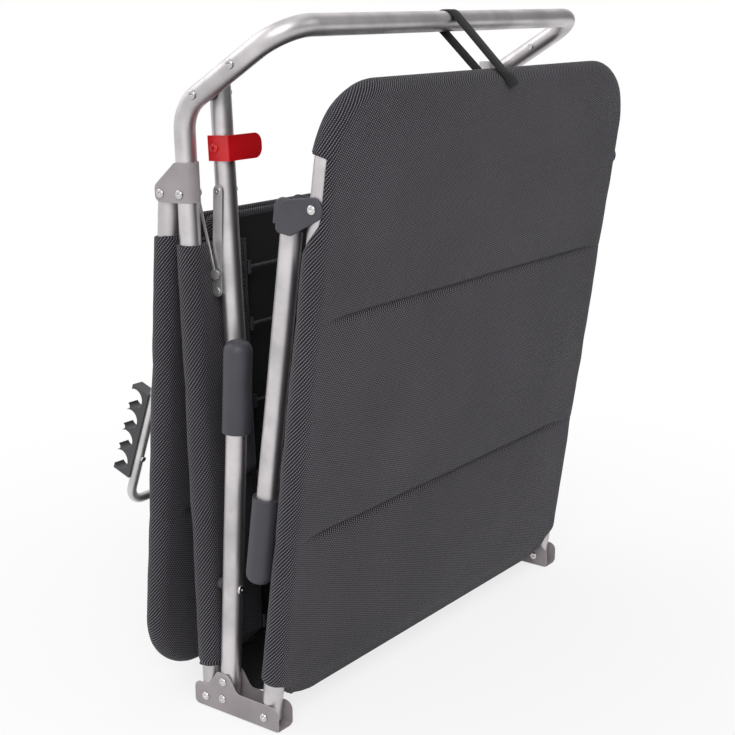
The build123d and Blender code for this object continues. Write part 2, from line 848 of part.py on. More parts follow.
def brace_plate():
    """Left-hand plate link from the head leg down past the elbow, with a rivet head at the elbow."""
    reach = gap_between(brace_on_leg, elbow)
    length = reach + brace_plate_tail
    outline = Pos(length / 2, 0) * SlotCenterToCenter(length, brace_plate_width)
    plate = extrude(outline - Circle(brace_rivet_radius + running_clearance), amount=brace_plate_thickness)
    low = Cylinder(brace_head_radius, brace_head_height, align=(Align.CENTER, Align.CENTER, Align.MAX))
    plate = plate + Pos(reach, 0, 0) * low + Pos(length, 0, 0) * low
    return link_plane(brace_x_plate, brace_on_leg, elbow).location * plate


def brace_leg_rivet():
    """Left-hand rivet that joins the plate link to the head leg."""
    low = brace_x_plate - running_clearance
    high = head_leg_x + tube_radius
    shank = rod((low, brace_pivot_on_leg, 0), (high, brace_pivot_on_leg, 0), brace_rivet_radius)
    outer = head(low, -1, brace_pivot_on_leg, 0, radius=brace_head_radius, height=brace_head_height)
    inner = head(high, 1, brace_pivot_on_leg, 0)
    return placed(head_leg_plane, shank + outer + inner)


# Padded covers
def pad_section(along, half_width, face, edge, crown):
    """Cross section of a pad: a flat underside, two sides and a crowned face."""
    corners = [(-half_width, face * pad_inner_face), (half_width, face * pad_inner_face)]
    top_right = (half_width, face * edge)
    top_left = (-half_width, face * edge)
    lines = [Line(corners[0], corners[1]), Line(corners[1], top_right)]
    lines.append(ThreePointArc(top_right, (0, face * crown), top_left))
    lines.append(Line(top_left, corners[0]))
    plane = Plane(origin=(0, along, 0), x_dir=(1, 0, 0), z_dir=(0, -1, 0))
    return plane * make_face(Wire(lines))


def pad_panel(start, end, seams, face, tips):
    """Panel with a crown in each channel and a drawn-in groove at each seam."""
    stops = [start, *seams, end]
    faces = [tips[0]] + [pad_seam_face] * len(seams) + [tips[1]]
    sections = []
    for index in range(len(stops) - 1):
        low, high = stops[index], stops[index + 1]
        low_face, high_face = faces[index], faces[index + 1]
        sections.append((low, low_face, low_face + seam_crown))
        low_slope = ((low_face + pad_edge_face) / 2, (low_face + pad_crown) / 2)
        high_slope = ((high_face + pad_edge_face) / 2, (high_face + pad_crown) / 2)
        sections.append((low + seam_half_width, *low_slope))
        sections.append(((low + high) / 2, pad_edge_face, pad_crown))
        sections.append((high - seam_half_width, *high_slope))
    sections.append((end, faces[-1], faces[-1] + seam_crown))
    profiles = [pad_section(along, frame_half_width, face, edge, crown) for along, edge, crown in sections]
    return loft(profiles, ruled=True)


def outline_prism(points, radii):
    """Prism that trims a panel to its outline."""
    outline = rounded_outline(points, radii)
    return extrude(outline, amount=2 * sleeve_radius, both=True)


def hems(start, end, face):
    """Turned-in hems along both sides of a cover's underside."""
    inner = frame_half_width - hem_width
    low, high = sorted((-face * hem_face, -face * (hem_face + hem_thickness)))
    left = block((-frame_half_width, -inner), (start, end), (low, high))
    return left + mirrored(left)


def foot_pad():
    """Padded cover of the foot section, sewn round its frame."""
    half = frame_half_width
    panel = pad_panel(foot_pad_start, foot_length, foot_seams, 1, (pad_tip_face, pad_edge_face))
    points = [
        (-half, foot_sleeve_start),
        (-half + foot_corner_cut, foot_pad_start),
        (half - foot_corner_cut, foot_pad_start),
        (half, foot_sleeve_start),
        (half, foot_length),
        (-half, foot_length),
    ]
    corner = foot_corner_radius
    panel = panel & outline_prism(points, [0, 0, 0, 0, corner, corner])
    sleeve = swept(frame_loop(foot_sleeve_start, foot_length, corner), sleeve_radius)
    cover = panel + sleeve + hems(foot_sleeve_start, foot_leg_pivot - foot_window_below, 1)
    bore = swept(frame_loop(-sleeve_radius, foot_length, corner), tube_radius + cloth_clearance)
    window = block(
        (-half - 2 * sleeve_radius, -half + foot_window_width),
        (foot_leg_pivot - foot_window_below, foot_leg_pivot + foot_window_above),
        (-2 * sleeve_radius, 2 * sleeve_radius),
    )
    return placed(foot_plane, cover - bore - both_sides(window))


def seat_pad():
    """Padded cover of the seat, between its two uprights."""
    half = frame_half_width
    neck = frame_half_width - pad_neck_inset
    panel = pad_panel(seat_sleeve_start, seat_pad_end, seat_seams, -1, (pad_tip_face, pad_tip_face))
    points = [
        (-half, seat_sleeve_start),
        (half, seat_sleeve_start),
        (half, seat_sleeve_end),
        (neck, pad_neck_start),
        (neck, seat_pad_end),
        (-neck, seat_pad_end),
        (-neck, pad_neck_start),
        (-half, seat_sleeve_end),
    ]
    panel = panel & outline_prism(points, [0] * len(points))
    left = rod((-half, seat_sleeve_start, 0), (-half, seat_sleeve_end, 0), sleeve_radius)
    cover = panel + left + mirrored(left)
    cover = cover + hems(seat_sleeve_start, seat_sleeve_end - sleeve_radius * 2, -1)
    bore = rod((-half, 0, 0), (-half, seat_pad_end, 0), tube_radius + cloth_clearance)
    return placed(seat_plane, cover - both_sides(bore))


def backrest_pad():
    """Padded cover of the backrest, sewn round its frame."""
    half = frame_half_width
    neck = frame_half_width - pad_neck_inset
    corner = backrest_corner_radius
    panel = pad_panel(backrest_pad_start, backrest_length, backrest_seams, -1, (pad_tip_face, pad_edge_face))
    points = [
        (-neck, backrest_pad_start),
        (neck, backrest_pad_start),
        (neck, backrest_neck_end),
        (half, backrest_sleeve_start),
        (half, backrest_length),
        (-half, backrest_length),
        (-half, backrest_sleeve_start),
        (-neck, backrest_neck_end),
    ]
    panel = panel & outline_prism(points, [0, 0, 0, 0, corner, corner, 0, 0])
    sleeve = swept(frame_loop(backrest_sleeve_start, backrest_length, corner), sleeve_radius)
    hem_start = adjuster_pivot_on_backrest + adjuster_slot_after
    cover = panel + sleeve + hems(hem_start, backrest_length - corner, -1)
    bore = swept(frame_loop(0, backrest_length, corner), tube_radius + cloth_clearance)
    slot_inner = adjuster_x + adjuster_rod_diameter
    slot = block(
        (-half + tube_radius - adjuster_side_gap, slot_inner),
        (adjuster_pivot_on_backrest - adjuster_slot_before, hem_start),
        (-adjuster_slot_depth, 2 * sleeve_radius),
    )
    return placed(backrest_plane, cover - bore - both_sides(slot))


# Lacing
def laces(plane, places, face):
    """Elastic cords across a cover's underside, each with a toggle at both hems."""
    inner = frame_half_width - hem_width
    across = -face * (hem_face + hem_thickness / 2)
    end = inner - toggle_radius - toggle_gap
    cords = []
    for along in places:
        cord = rod((-end, along, across), (end, along, across), lace_radius)
        low = along - toggle_length / 2
        toggle = rod((-end, low, across), (-end, low + toggle_length, across), toggle_radius)
        cords.append(placed(plane, cord + toggle + mirrored(toggle)))
    return cords


# Closing strap
def belt(centres, radii, extra):
    """Outline of a belt round two circles in the side plane."""
    circles = []
    for centre, radius in zip(centres, radii):
        circles.append(Pos(*centre) * Circle(radius + extra))
    return make_hull(circles[0].edges() + circles[1].edges())


def closing_strap():
    """Elastic strap that holds the foot section's rim to the seat frame's top bar."""
    rim = side_point(foot_plane, foot_length)
    bar = side_point(seat_plane, *on_arm(arm_length))
    centres = (rim, bar)
    radii = (sleeve_radius + cloth_clearance, tube_radius + cloth_clearance)
    ring = belt(centres, radii, strap_thickness) - belt(centres, radii, 0)
    side = Plane(origin=(-strap_width / 2, 0, 0), x_dir=(0, 1, 0), z_dir=(1, 0, 0))
    loop = extrude(side * ring, amount=strap_width)
    reach = 4 * sleeve_radius
    below = block(
        (-strap_width, strap_width),
        (foot_length - reach, foot_length - strap_end_below_rim),
        (-reach, reach),
    )
    return loop - placed(foot_plane, below)


# Build every node, left-hand pieces first and their mirror images after them
nodes = {
    "bottom_rivets": bracket_rivets(),
    "middle_leg_bumpers": [bumper()],
    "bumper_rivets": [bumper_rivet()],
    "top_rivets": top_rivets(),
    "head_leg_pins": [head_leg_pin()],
    "head_leg_spacers": [head_leg_spacer()],
    "stop_studs": [stop_stud()],
    "adjuster_pins": [adjuster_pin()],
    "rack_screws": rack_screws(),
    "foot_leg_pins": [foot_leg_pin()],
}
for name in list(nodes):
    nodes[name] = nodes[name] + [mirrored(solid) for solid in nodes[name]]

paired = {
    "bottom_bracket": bottom_bracket(),
    "middle_leg": middle_leg(),
    "middle_foot": middle_foot(),
    "top_bracket": top_bracket(),
    "rack": rack(),
    "foot_leg": foot_leg(),
    "hinge_cap": hinge_cap(),
    "foot_leg_foot": foot_leg_foot(),
    "head_leg": head_leg(),
    "head_foot": head_foot(),
    "lock_clip": lock_clip(),
    "clip_rivet": clip_rivet(),
    "brace_wire": brace_wire(),
    "brace_plate": brace_plate(),
    "brace_leg_rivet": brace_leg_rivet(),
}
for name, solid in paired.items():
    nodes["left_" + name] = [solid]
    nodes["right_" + name] = [mirrored(solid)]

nodes["seat_frame"] = [seat_frame()]
nodes["backrest_frame"] = [backrest_frame()]
nodes["adjuster_rod"] = [adjuster_rod()]
nodes["foot_frame"] = [foot_frame()]
nodes["foot_pad"] = [foot_pad()]
nodes["seat_pad"] = [seat_pad()]
nodes["backrest_pad"] = [backrest_pad()]
nodes["foot_lacing"] = laces(foot_plane, foot_laces, 1)
nodes["seat_lacing"] = laces(seat_plane, seat_laces, -1)
nodes["backrest_lacing"] = laces(backrest_plane, backrest_laces, -1)
nodes["closing_strap"] = [closing_strap()]

# The origin lies on the floor, in the middle of the folded object
whole = Compound(children=[Compound(solids) for solids in nodes.values()]).bounding_box()
depth_shift = -(whole.min.Y + whole.max.Y) / 2

os.makedirs("parts", exist_ok=True)
for name, solids in nodes.items():
    moved = [Pos(0, depth_shift, 0) * solid for solid in solids]
    piece = moved[0] if len(moved) == 1 else Compound(children=moved)
    export_step(piece, "parts/" + name + ".step")

# Joint places for the record, in millimetres from the origin
joint_places = {
    "foot section": foot_pivot,
    "seat": seat_pivot,
    "backrest": backrest_pivot,
    "adjuster": adjuster_pivot,
    "foot leg": foot_leg_pivot_point,
    "head leg": head_leg_pivot,
    "brace on seat": brace_on_seat,
    "brace on leg": brace_on_leg,
}
for name, place in joint_places.items():
    print(f"{name}: y {place[0] + depth_shift:.3f}, z {place[1]:.3f}")
print(f"depth shift {depth_shift:.3f}")
wire_turn = bearing(brace_on_seat, brace_on_open_leg) - bearing(brace_on_seat, elbow)
plate_turn = bearing(brace_on_open_leg, brace_on_seat) - bearing(brace_on_leg, elbow) + head_leg_open_angle
print(f"brace wire turns {wire_turn:.3f}, plate turns {plate_turn:.3f} on the leg")
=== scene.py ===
"""Looks of a three-section folding lounger, folded and standing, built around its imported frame."""

from __future__ import annotations

import json
import logging
import math
from dataclasses import dataclass, field, replace
from enum import Enum

import bmesh
import bpy
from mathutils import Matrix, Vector, noise

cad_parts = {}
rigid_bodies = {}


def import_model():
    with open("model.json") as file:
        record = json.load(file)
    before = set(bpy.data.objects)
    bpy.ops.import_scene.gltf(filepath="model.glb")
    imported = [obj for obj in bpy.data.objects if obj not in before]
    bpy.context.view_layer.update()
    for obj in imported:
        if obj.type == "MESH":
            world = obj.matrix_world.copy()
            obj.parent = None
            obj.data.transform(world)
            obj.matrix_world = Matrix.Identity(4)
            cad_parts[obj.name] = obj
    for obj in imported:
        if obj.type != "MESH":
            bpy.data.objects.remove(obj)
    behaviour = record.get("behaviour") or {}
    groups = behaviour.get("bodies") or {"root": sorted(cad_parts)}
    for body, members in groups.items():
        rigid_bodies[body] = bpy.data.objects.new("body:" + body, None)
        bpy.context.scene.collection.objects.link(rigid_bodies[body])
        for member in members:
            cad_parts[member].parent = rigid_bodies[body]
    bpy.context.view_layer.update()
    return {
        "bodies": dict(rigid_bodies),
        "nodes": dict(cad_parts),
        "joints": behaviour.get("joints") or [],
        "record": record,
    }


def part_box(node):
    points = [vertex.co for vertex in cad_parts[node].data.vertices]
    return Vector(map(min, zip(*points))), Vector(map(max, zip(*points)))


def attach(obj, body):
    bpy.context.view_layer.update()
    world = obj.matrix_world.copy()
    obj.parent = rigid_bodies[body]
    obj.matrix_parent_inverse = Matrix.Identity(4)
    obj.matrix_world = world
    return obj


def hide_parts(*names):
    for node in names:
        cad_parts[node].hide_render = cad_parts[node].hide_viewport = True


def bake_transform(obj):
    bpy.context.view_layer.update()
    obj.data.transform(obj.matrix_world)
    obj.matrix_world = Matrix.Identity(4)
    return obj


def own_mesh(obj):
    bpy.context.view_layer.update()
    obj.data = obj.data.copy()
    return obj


LOG = logging.getLogger("lounger")
MILLIMETRE = 0.001
TUBE_RADIUS = 0.0125
STITCH_SIZES = {"Pitch": 0.006, "Length": 0.0044, "Thickness": 0.0012}
LACE_PLACES = {
    "foot": (110.0, 230.0, 350.0, 470.0),
    "seat": (66.0, 163.0, 260.0, 357.0, 454.0, 524.0),
    "backrest": (280.0, 360.0, 440.0, 520.0),
}
RIGHT = Vector((1.0, 0.0, 0.0))
WHITE = (1.0, 1.0, 1.0, 1.0)
Pair = tuple[float, float]
Triple = tuple[float, float, float]


def report(piece: bpy.types.Object) -> None:
    """Log a finished piece with its number of faces."""
    LOG.info("%s: %d faces", piece.name, len(piece.data.polygons))


def between(first: Pair, second: Pair, share: float) -> Pair:
    """A point between two points."""
    return (first[0] + (second[0] - first[0]) * share, first[1] + (second[1] - first[1]) * share)


def smooth(low: float, high: float, value: float) -> float:
    """Ease from 0 at low to 1 at high.

    Args:
        low: Value where the ease starts.
        high: Value where it ends.
        value: Place to look up.

    Returns:
        A share from 0 to 1.
    """
    share = min(1.0, max(0.0, (value - low) / (high - low)))
    return share * share * (3.0 - 2.0 * share)


def bump(centre: float, width: float, value: float) -> float:
    """A bell of height 1 at centre that is this wide."""
    return math.exp(-(((value - centre) / width) ** 2))


def linear(red: float, green: float, blue: float) -> tuple[float, float, float, float]:
    """A screen colour from 0 to 255 as the linear colour that a shader takes."""
    parts = []
    for part in (red, green, blue):
        share = part / 255.0
        parts.append(share / 12.92 if share <= 0.04045 else ((share + 0.055) / 1.055) ** 2.4)
    return (parts[0], parts[1], parts[2], 1.0)


class Lean(Enum):
    """How a section's own length axis runs from its pivot."""

    RISING = 1
    HANGING = -1


@dataclass(frozen=True)
class SectionPlace:
    """A section's own axes: across the width, along its length and out of its front or back.

    Attributes:
        pivot: The pivot's y and z, in metres.
        angle: Lean of the section, in degrees.
        lean: Whether the section rises or hangs from its pivot.
    """

    pivot: Pair
    angle: float
    lean: Lean

    def along(self) -> Vector:
        """Direction of the section's length."""
        turn = math.radians(self.angle)
        if self.lean is Lean.RISING:
            return Vector((0.0, -math.sin(turn), math.cos(turn)))
        return Vector((0.0, math.sin(turn), -math.cos(turn)))

    def out(self) -> Vector:
        """Direction square to the section's sheet."""
        return RIGHT.cross(self.along())

    def point(self, across: float, along: float, out: float) -> Vector:
        """Turn a place in the section, in millimetres, into a point of the frame, in metres.

        Args:
            across: Distance from the middle of the width.
            along: Distance from the pivot.
            out: Distance out of the section's sheet.

        Returns:
            The point in the shared frame.
        """
        start = Vector((0.0, self.pivot[0], self.pivot[1]))
        reach = self.along() * along + self.out() * out
        return start + (reach + RIGHT * across) * MILLIMETRE


class Board:
    """Short hand for adding and joining nodes in one node tree."""

    def __init__(self, tree: bpy.types.NodeTree) -> None:
        """Keep the tree that the nodes go into."""
        self.tree = tree

    def add(self, kind: str, inputs: dict | None = None, **settings: object) -> bpy.types.Node:
        """Add a node.

        Args:
            kind: Blender's name of the node's type.
            inputs: Values or sockets for the node's inputs, by name or number.
            **settings: Properties of the node.

        Returns:
            The new node.
        """
        node = self.tree.nodes.new(kind)
        for name, value in settings.items():
            setattr(node, name, value)
        for name, value in (inputs or {}).items():
            self.feed(node.inputs[name], value)
        return node

    def feed(self, entry: bpy.types.NodeSocket, value: object) -> None:
        """Join a socket to a node's input, or set the input to a value."""
        if isinstance(value, bpy.types.NodeSocket):
            self.tree.links.new(value, entry)
        else:
            entry.default_value = value

    def group(self, tree: bpy.types.NodeTree, inputs: dict) -> bpy.types.Node:
        """Place a shared shader group with its own values."""
        return self.add("ShaderNodeGroup", inputs, node_tree=tree)

    def first(self, kind: str) -> bpy.types.Node:
        """The tree's first node of a type."""
        return next(node for node in self.tree.nodes if node.type == kind)

    def maths(self, operation: str, first: object, second: object = 0.0) -> bpy.types.NodeSocket:
        """Add a sum of two values and give its result."""
        return self.add("ShaderNodeMath", {0: first, 1: second}, operation=operation).outputs[0]

    def spread(self, value: bpy.types.NodeSocket, low: float, high: float) -> bpy.types.NodeSocket:
        """Stretch the values between low and high over 0 to 1, with an ease."""
        node = self.add(
            "ShaderNodeMapRange",
            {"Value": value, "From Min": low, "From Max": high},
            interpolation_type="SMOOTHSTEP",
        )
        return node.outputs["Result"]

    def mixed(self, share: object, first: object, second: object) -> bpy.types.NodeSocket:
        """Mix two colours by a share."""
        node = self.add("ShaderNodeMix", data_type="RGBA")
        for name, value in (("Factor_Float", share), ("A_Color", first), ("B_Color", second)):
            self.feed(next(item for item in node.inputs if item.identifier == name), value)
        return next(item for item in node.outputs if item.identifier == "Result_Color")


def open_group(
    kind: str, name: str, inputs: dict[str, object], outputs: dict[str, str]
) -> tuple[Board, dict, bpy.types.Node]:
    """Open a node group with named sockets.

    Args:
        kind: Blender's name of the tree's type.
        name: The group's name.
        inputs: Its inputs, each with its usual value or, where it isn't a number, with its type.
        outputs: The type of each of its outputs.

    Returns:
        The board, the input sockets by name and the output node.
    """
    tree = bpy.data.node_groups.new(name, kind)
    for socket, value in inputs.items():
        number = isinstance(value, float)
        made = tree.interface.new_socket(
            socket, in_out="INPUT", socket_type="NodeSocket" + ("Float" if number else value)
        )
        if number:
            made.default_value = value
    for socket, value in outputs.items():
        tree.interface.new_socket(socket, in_out="OUTPUT", socket_type="NodeSocket" + value)
    board = Board(tree)
    entry = board.add("NodeGroupInput")
    return board, {item.name: item for item in entry.outputs}, board.add("NodeGroupOutput")


class EffectGroups:
    """Shader node groups that several finishes share."""

    PATCH_EDGES = (0.3, 0.7)
    WEAR_EDGES = (0.02, 0.22)
    BREAKUP_EDGES = (0.38, 0.62)
    THREAD_EDGES = (0.21, 0.11)
    FLOAT_EDGES = (0.42, 0.28)
    WOBBLE_SCALE = 60.0
    ROW_SHIFT = 0.37
    ROW_RELIEF = 0.4

    def __init__(self) -> None:
        """Build every group once."""
        self.grain = self.build_grain()
        self.edge_wear = self.build_edge_wear()
        self.twill = self.build_twill()

    @staticmethod
    def speckle(board: Board, place: object, scale: object, detail: float) -> bpy.types.Node:
        """Add a noise."""
        return board.add("ShaderNodeTexNoise", {"Vector": place, "Scale": scale, "Detail": detail})

    def build_grain(self) -> bpy.types.NodeTree:
        """Fine moulded or blasted grain, with slow patches of shade over it."""
        board, entry, end = open_group(
            "ShaderNodeTree",
            "fine_grain",
            {"Vector": "Vector", "Scale": 900.0, "Patch Scale": 14.0},
            {"Height": "Float", "Patch": "Float"},
        )
        fine = self.speckle(board, entry["Vector"], entry["Scale"], 3.0)
        slow = self.speckle(board, entry["Vector"], entry["Patch Scale"], 4.0)
        board.feed(end.inputs["Height"], fine.outputs["Fac"])
        board.feed(end.inputs["Patch"], board.spread(slow.outputs["Fac"], *self.PATCH_EDGES))
        return board.tree

    def build_edge_wear(self) -> bpy.types.NodeTree:
        """Mask of rubbed edges, broken up by a noise."""
        board, entry, end = open_group(
            "ShaderNodeTree",
            "edge_wear",
            {"Vector": "Vector", "Radius": 0.002, "Breakup": 120.0},
            {"Mask": "Float"},
        )
        rounded = board.add("ShaderNodeBevel", {"Radius": entry["Radius"]}, samples=4)
        plain = board.add("ShaderNodeNewGeometry")
        facing = board.add(
            "ShaderNodeVectorMath",
            {0: rounded.outputs["Normal"], 1: plain.outputs["Normal"]},
            operation="DOT_PRODUCT",
        )
        edge = board.spread(board.maths("SUBTRACT", 1.0, facing.outputs["Value"]), *self.WEAR_EDGES)
        rough = self.speckle(board, entry["Vector"], entry["Breakup"], 3.0)
        broken = board.spread(rough.outputs["Fac"], *self.BREAKUP_EDGES)
        board.feed(end.inputs["Mask"], board.maths("MULTIPLY", edge, broken))
        return board.tree

    def build_twill(self) -> bpy.types.NodeTree:
        """Diagonal light threads on a dark ground, in short floats, with a height for the bump."""
        board, entry, end = open_group(
            "ShaderNodeTree",
            "twill_weave",
            {"Vector": "Vector", "Pitch": 0.0031, "Float": 0.0026, "Angle": 0.92, "Unevenness": 0.4},
            {"Thread": "Float", "Height": "Float"},
        )
        turned = board.add(
            "ShaderNodeVectorRotate",
            {"Vector": entry["Vector"], "Angle": entry["Angle"]},
            rotation_type="Z_AXIS",
            invert=True,
        )
        wobble = self.speckle(board, entry["Vector"], self.WOBBLE_SCALE, 2.0)
        swing = board.maths("SUBTRACT", wobble.outputs["Fac"], 0.5)
        shift = board.maths("MULTIPLY", swing, entry["Unevenness"])
        parts = board.add("ShaderNodeSeparateXYZ", {0: turned.outputs[0]})
        row = board.maths("ADD", board.maths("DIVIDE", parts.outputs["Y"], entry["Pitch"]), shift)
        number = board.maths("FLOOR", row)
        beside = board.maths("SUBTRACT", row, number)
        across = board.maths("ABSOLUTE", board.maths("SUBTRACT", beside, 0.5))
        step = board.maths("MULTIPLY", number, self.ROW_SHIFT)
        run = board.maths("ADD", board.maths("DIVIDE", parts.outputs["X"], entry["Float"]), step)
        within = board.maths("SUBTRACT", run, board.maths("FLOOR", run))
        length = board.maths("ABSOLUTE", board.maths("SUBTRACT", within, 0.5))
        stripe = board.spread(across, *self.THREAD_EDGES)
        dash = board.spread(length, *self.FLOAT_EDGES)
        thread = board.maths("MULTIPLY", stripe, dash)
        height = board.maths("ADD", thread, board.maths("MULTIPLY", stripe, self.ROW_RELIEF))
        board.feed(end.inputs["Thread"], thread)
        board.feed(end.inputs["Height"], height)
        return board.tree


@dataclass(frozen=True)
class Finish:
    """What every finish has: its name and its colour on screen."""

    name: str
    colour: Triple

    def begin(self) -> tuple[Board, bpy.types.Node, bpy.types.Node]:
        """Start a material with its shader.

        Returns:
            The board, the shader and the node of object coordinates.
        """
        material = bpy.data.materials.new(self.name)
        material.use_nodes = True
        board = Board(material.node_tree)
        shader = board.first("BSDF_PRINCIPLED")
        shader.inputs["Base Color"].default_value = linear(*self.colour)
        return board, shader, board.add("ShaderNodeTexCoord")

    @staticmethod
    def grained(
        board: Board, grain: bpy.types.NodeTree, place: bpy.types.Node, scale: float, patch_scale: float
    ) -> bpy.types.Node:
        """Place the shared grain on the piece's own coordinates."""
        values = {"Vector": place.outputs["Object"], "Scale": scale, "Patch Scale": patch_scale}
        return board.group(grain, values)

    @staticmethod
    def mottled(board: Board, patch: object, colour: Triple, shade: float) -> bpy.types.NodeSocket:
        """A colour that goes to a darker shade of itself in slow patches."""
        darker = tuple(part * shade for part in colour)
        return board.mixed(patch, linear(*darker), linear(*colour))

    @staticmethod
    def close(
        board: Board, shader: bpy.types.Node, height: object, depth: float
    ) -> bpy.types.Material:
        """Add the bump and hand the material over.

        Args:
            board: The material's board.
            shader: Its shader.
            height: Socket of the surface's height.
            depth: Depth of the relief, in metres.

        Returns:
            The finished material.
        """
        relief = board.add("ShaderNodeBump", {"Height": height, "Distance": depth, "Strength": 1.0})
        board.feed(shader.inputs["Normal"], relief.outputs["Normal"])
        return next(item for item in bpy.data.materials if item.node_tree == board.tree)


@dataclass(frozen=True)
class MetalFinish(Finish):
    """Satin or bright bare metal with a fine grain and faint handling marks."""

    roughness: float = 0.34
    polish: float = 0.07
    grain_scale: float = 1500.0
    grain_depth: float = 0.00002
    patch_scale: float = 18.0
    shade: float = 0.86

    def build(self, groups: EffectGroups) -> bpy.types.Material:
        """Make the material from the shared effects."""
        board, shader, place = self.begin()
        grain = self.grained(board, groups.grain, place, self.grain_scale, self.patch_scale)
        patch = grain.outputs["Patch"]
        tint = self.mottled(board, patch, self.colour, self.shade)
        board.feed(shader.inputs["Base Color"], tint)
        polished = board.maths("MULTIPLY", patch, -self.polish)
        rough = board.maths("ADD", polished, self.roughness + self.polish / 2)
        board.feed(shader.inputs["Roughness"], rough)
        shader.inputs["Metallic"].default_value = 1.0
        return self.close(board, shader, grain.outputs["Height"], self.grain_depth)


@dataclass(frozen=True)
class CoatFinish(Finish):
    """Paint or moulded plastic: a grain, slow shade and rubbed edges in another colour."""

    worn: Triple = (150.0, 150.0, 152.0)
    wear: float = 0.5
    roughness: float = 0.5
    dullness: float = 0.1
    grain_scale: float = 700.0
    grain_depth: float = 0.00005
    patch_scale: float = 22.0
    shade: float = 0.88
    edge_radius: float = 0.0014
    edge_breakup: float = 160.0
    coat: float = 0.0
    coat_roughness: float = 0.2

    def build(self, groups: EffectGroups) -> bpy.types.Material:
        """Make the material from the shared effects."""
        board, shader, place = self.begin()
        grain = self.grained(board, groups.grain, place, self.grain_scale, self.patch_scale)
        edge = board.group(
            groups.edge_wear,
            {"Vector": place.outputs["Object"], "Radius": self.edge_radius, "Breakup": self.edge_breakup},
        )
        patch = grain.outputs["Patch"]
        tint = self.mottled(board, patch, self.colour, self.shade)
        rubbed = board.maths("MULTIPLY", edge.outputs["Mask"], self.wear)
        board.feed(shader.inputs["Base Color"], board.mixed(rubbed, tint, linear(*self.worn)))
        dulled = board.maths("MULTIPLY", patch, self.dullness)
        rough = board.maths("ADD", dulled, self.roughness - self.dullness / 2)
        board.feed(shader.inputs["Roughness"], rough)
        shader.inputs["Coat Weight"].default_value = self.coat
        shader.inputs["Coat Roughness"].default_value = self.coat_roughness
        return self.close(board, shader, grain.outputs["Height"], self.grain_depth)


@dataclass(frozen=True)
class ClothFinish(Finish):
    """Woven cloth, on the piece's own unrolled map or straight on the piece."""

    thread: Triple = (150.0, 146.0, 153.0)
    shade: float = 0.9
    pitch: float = 0.0031
    float_length: float = 0.0026
    angle: float = 0.92
    depth: float = 0.0005
    fibre_scale: float = 1200.0
    fibre_share: float = 0.25
    patch_scale: float = 6.0
    roughness: float = 0.85
    gloss: float = 0.25
    sheen: float = 0.08
    sheen_roughness: float = 0.5
    on_map: bool = True

    def build(self, groups: EffectGroups) -> bpy.types.Material:
        """Make the material from the shared effects."""
        board, shader, place = self.begin()
        cloth = place.outputs["UV" if self.on_map else "Object"]
        weave = board.group(
            groups.twill,
            {"Vector": cloth, "Pitch": self.pitch, "Float": self.float_length, "Angle": self.angle},
        )
        grain = self.grained(board, groups.grain, place, self.fibre_scale, self.patch_scale)
        yarn = self.mottled(board, grain.outputs["Patch"], self.thread, self.shade)
        tint = board.mixed(weave.outputs["Thread"], linear(*self.colour), yarn)
        board.feed(shader.inputs["Base Color"], tint)
        fibre = board.maths("MULTIPLY", grain.outputs["Height"], self.fibre_share)
        shader.inputs["Roughness"].default_value = self.roughness
        shader.inputs["Sheen Weight"].default_value = self.sheen
        shader.inputs["Sheen Roughness"].default_value = self.sheen_roughness
        shader.inputs["Specular IOR Level"].default_value = self.gloss
        height = board.maths("ADD", weave.outputs["Height"], fibre)
        return self.close(board, shader, height, self.depth)


class Palette:
    """Every finish of the lounger, by the record's slot or by its own use."""

    def __init__(self) -> None:
        """Build the shared effects and the materials."""
        groups = EffectGroups()
        finishes = {
            "anodised_tube": MetalFinish("satin_anodised_tube", (216, 212, 214), roughness=0.44),
            "rod_steel": MetalFinish("plated_rod", (222, 221, 220), roughness=0.46),
            "rivet_steel": MetalFinish("bright_rivet", (214, 212, 212), roughness=0.2, grain_scale=2500.0),
            "bracket_grey": CoatFinish(
                "grey_powder_coat",
                (154, 147, 150),
                worn=(182, 178, 178),
                wear=0.45,
                roughness=0.46,
                grain_scale=1600.0,
            ),
            "dark_plastic": CoatFinish(
                "grained_dark_plastic", (63, 62, 69), worn=(100, 99, 106), wear=0.4, roughness=0.5
            ),
            "rack_plastic": CoatFinish(
                "smooth_dark_plastic", (58, 57, 61), worn=(96, 96, 100), roughness=0.38
            ),
            "red_plastic": CoatFinish(
                "red_moulding",
                (198, 6, 18),
                worn=(206, 60, 60),
                wear=0.35,
                roughness=0.34,
                grain_scale=420.0,
                grain_depth=0.00002,
                coat=0.25,
            ),
            "bumper_rubber": CoatFinish("bumper_rubber", (62, 61, 66), wear=0.1, roughness=0.75),
            "cover_fabric": ClothFinish("woven_cover", (24, 22, 27), thread=(134, 130, 138)),
            "elastic_lacing": ClothFinish(
                "braided_elastic",
                (58, 56, 61),
                thread=(120, 118, 124),
                pitch=0.0011,
                float_length=0.0018,
                depth=0.0002,
                on_map=False,
            ),
            "strap_webbing": ClothFinish(
                "black_webbing",
                (14, 14, 15),
                thread=(52, 53, 55),
                pitch=0.0012,
                float_length=0.0016,
                depth=0.0002,
            ),
            "lining": ClothFinish(
                "black_lining",
                (12, 11, 14),
                thread=(30, 28, 34),
                pitch=0.0016,
                float_length=0.002,
                sheen=0.1,
            ),
            "thread": ClothFinish(
                "sewing_thread",
                (30, 29, 33),
                thread=(66, 65, 71),
                pitch=0.0006,
                float_length=0.001,
                depth=0.0001,
                on_map=False,
            ),
        }
        self.materials = {name: finish.build(groups) for name, finish in finishes.items()}

    def __getitem__(self, name: str) -> bpy.types.Material:
        """The material of a slot or use."""
        return self.materials[name]


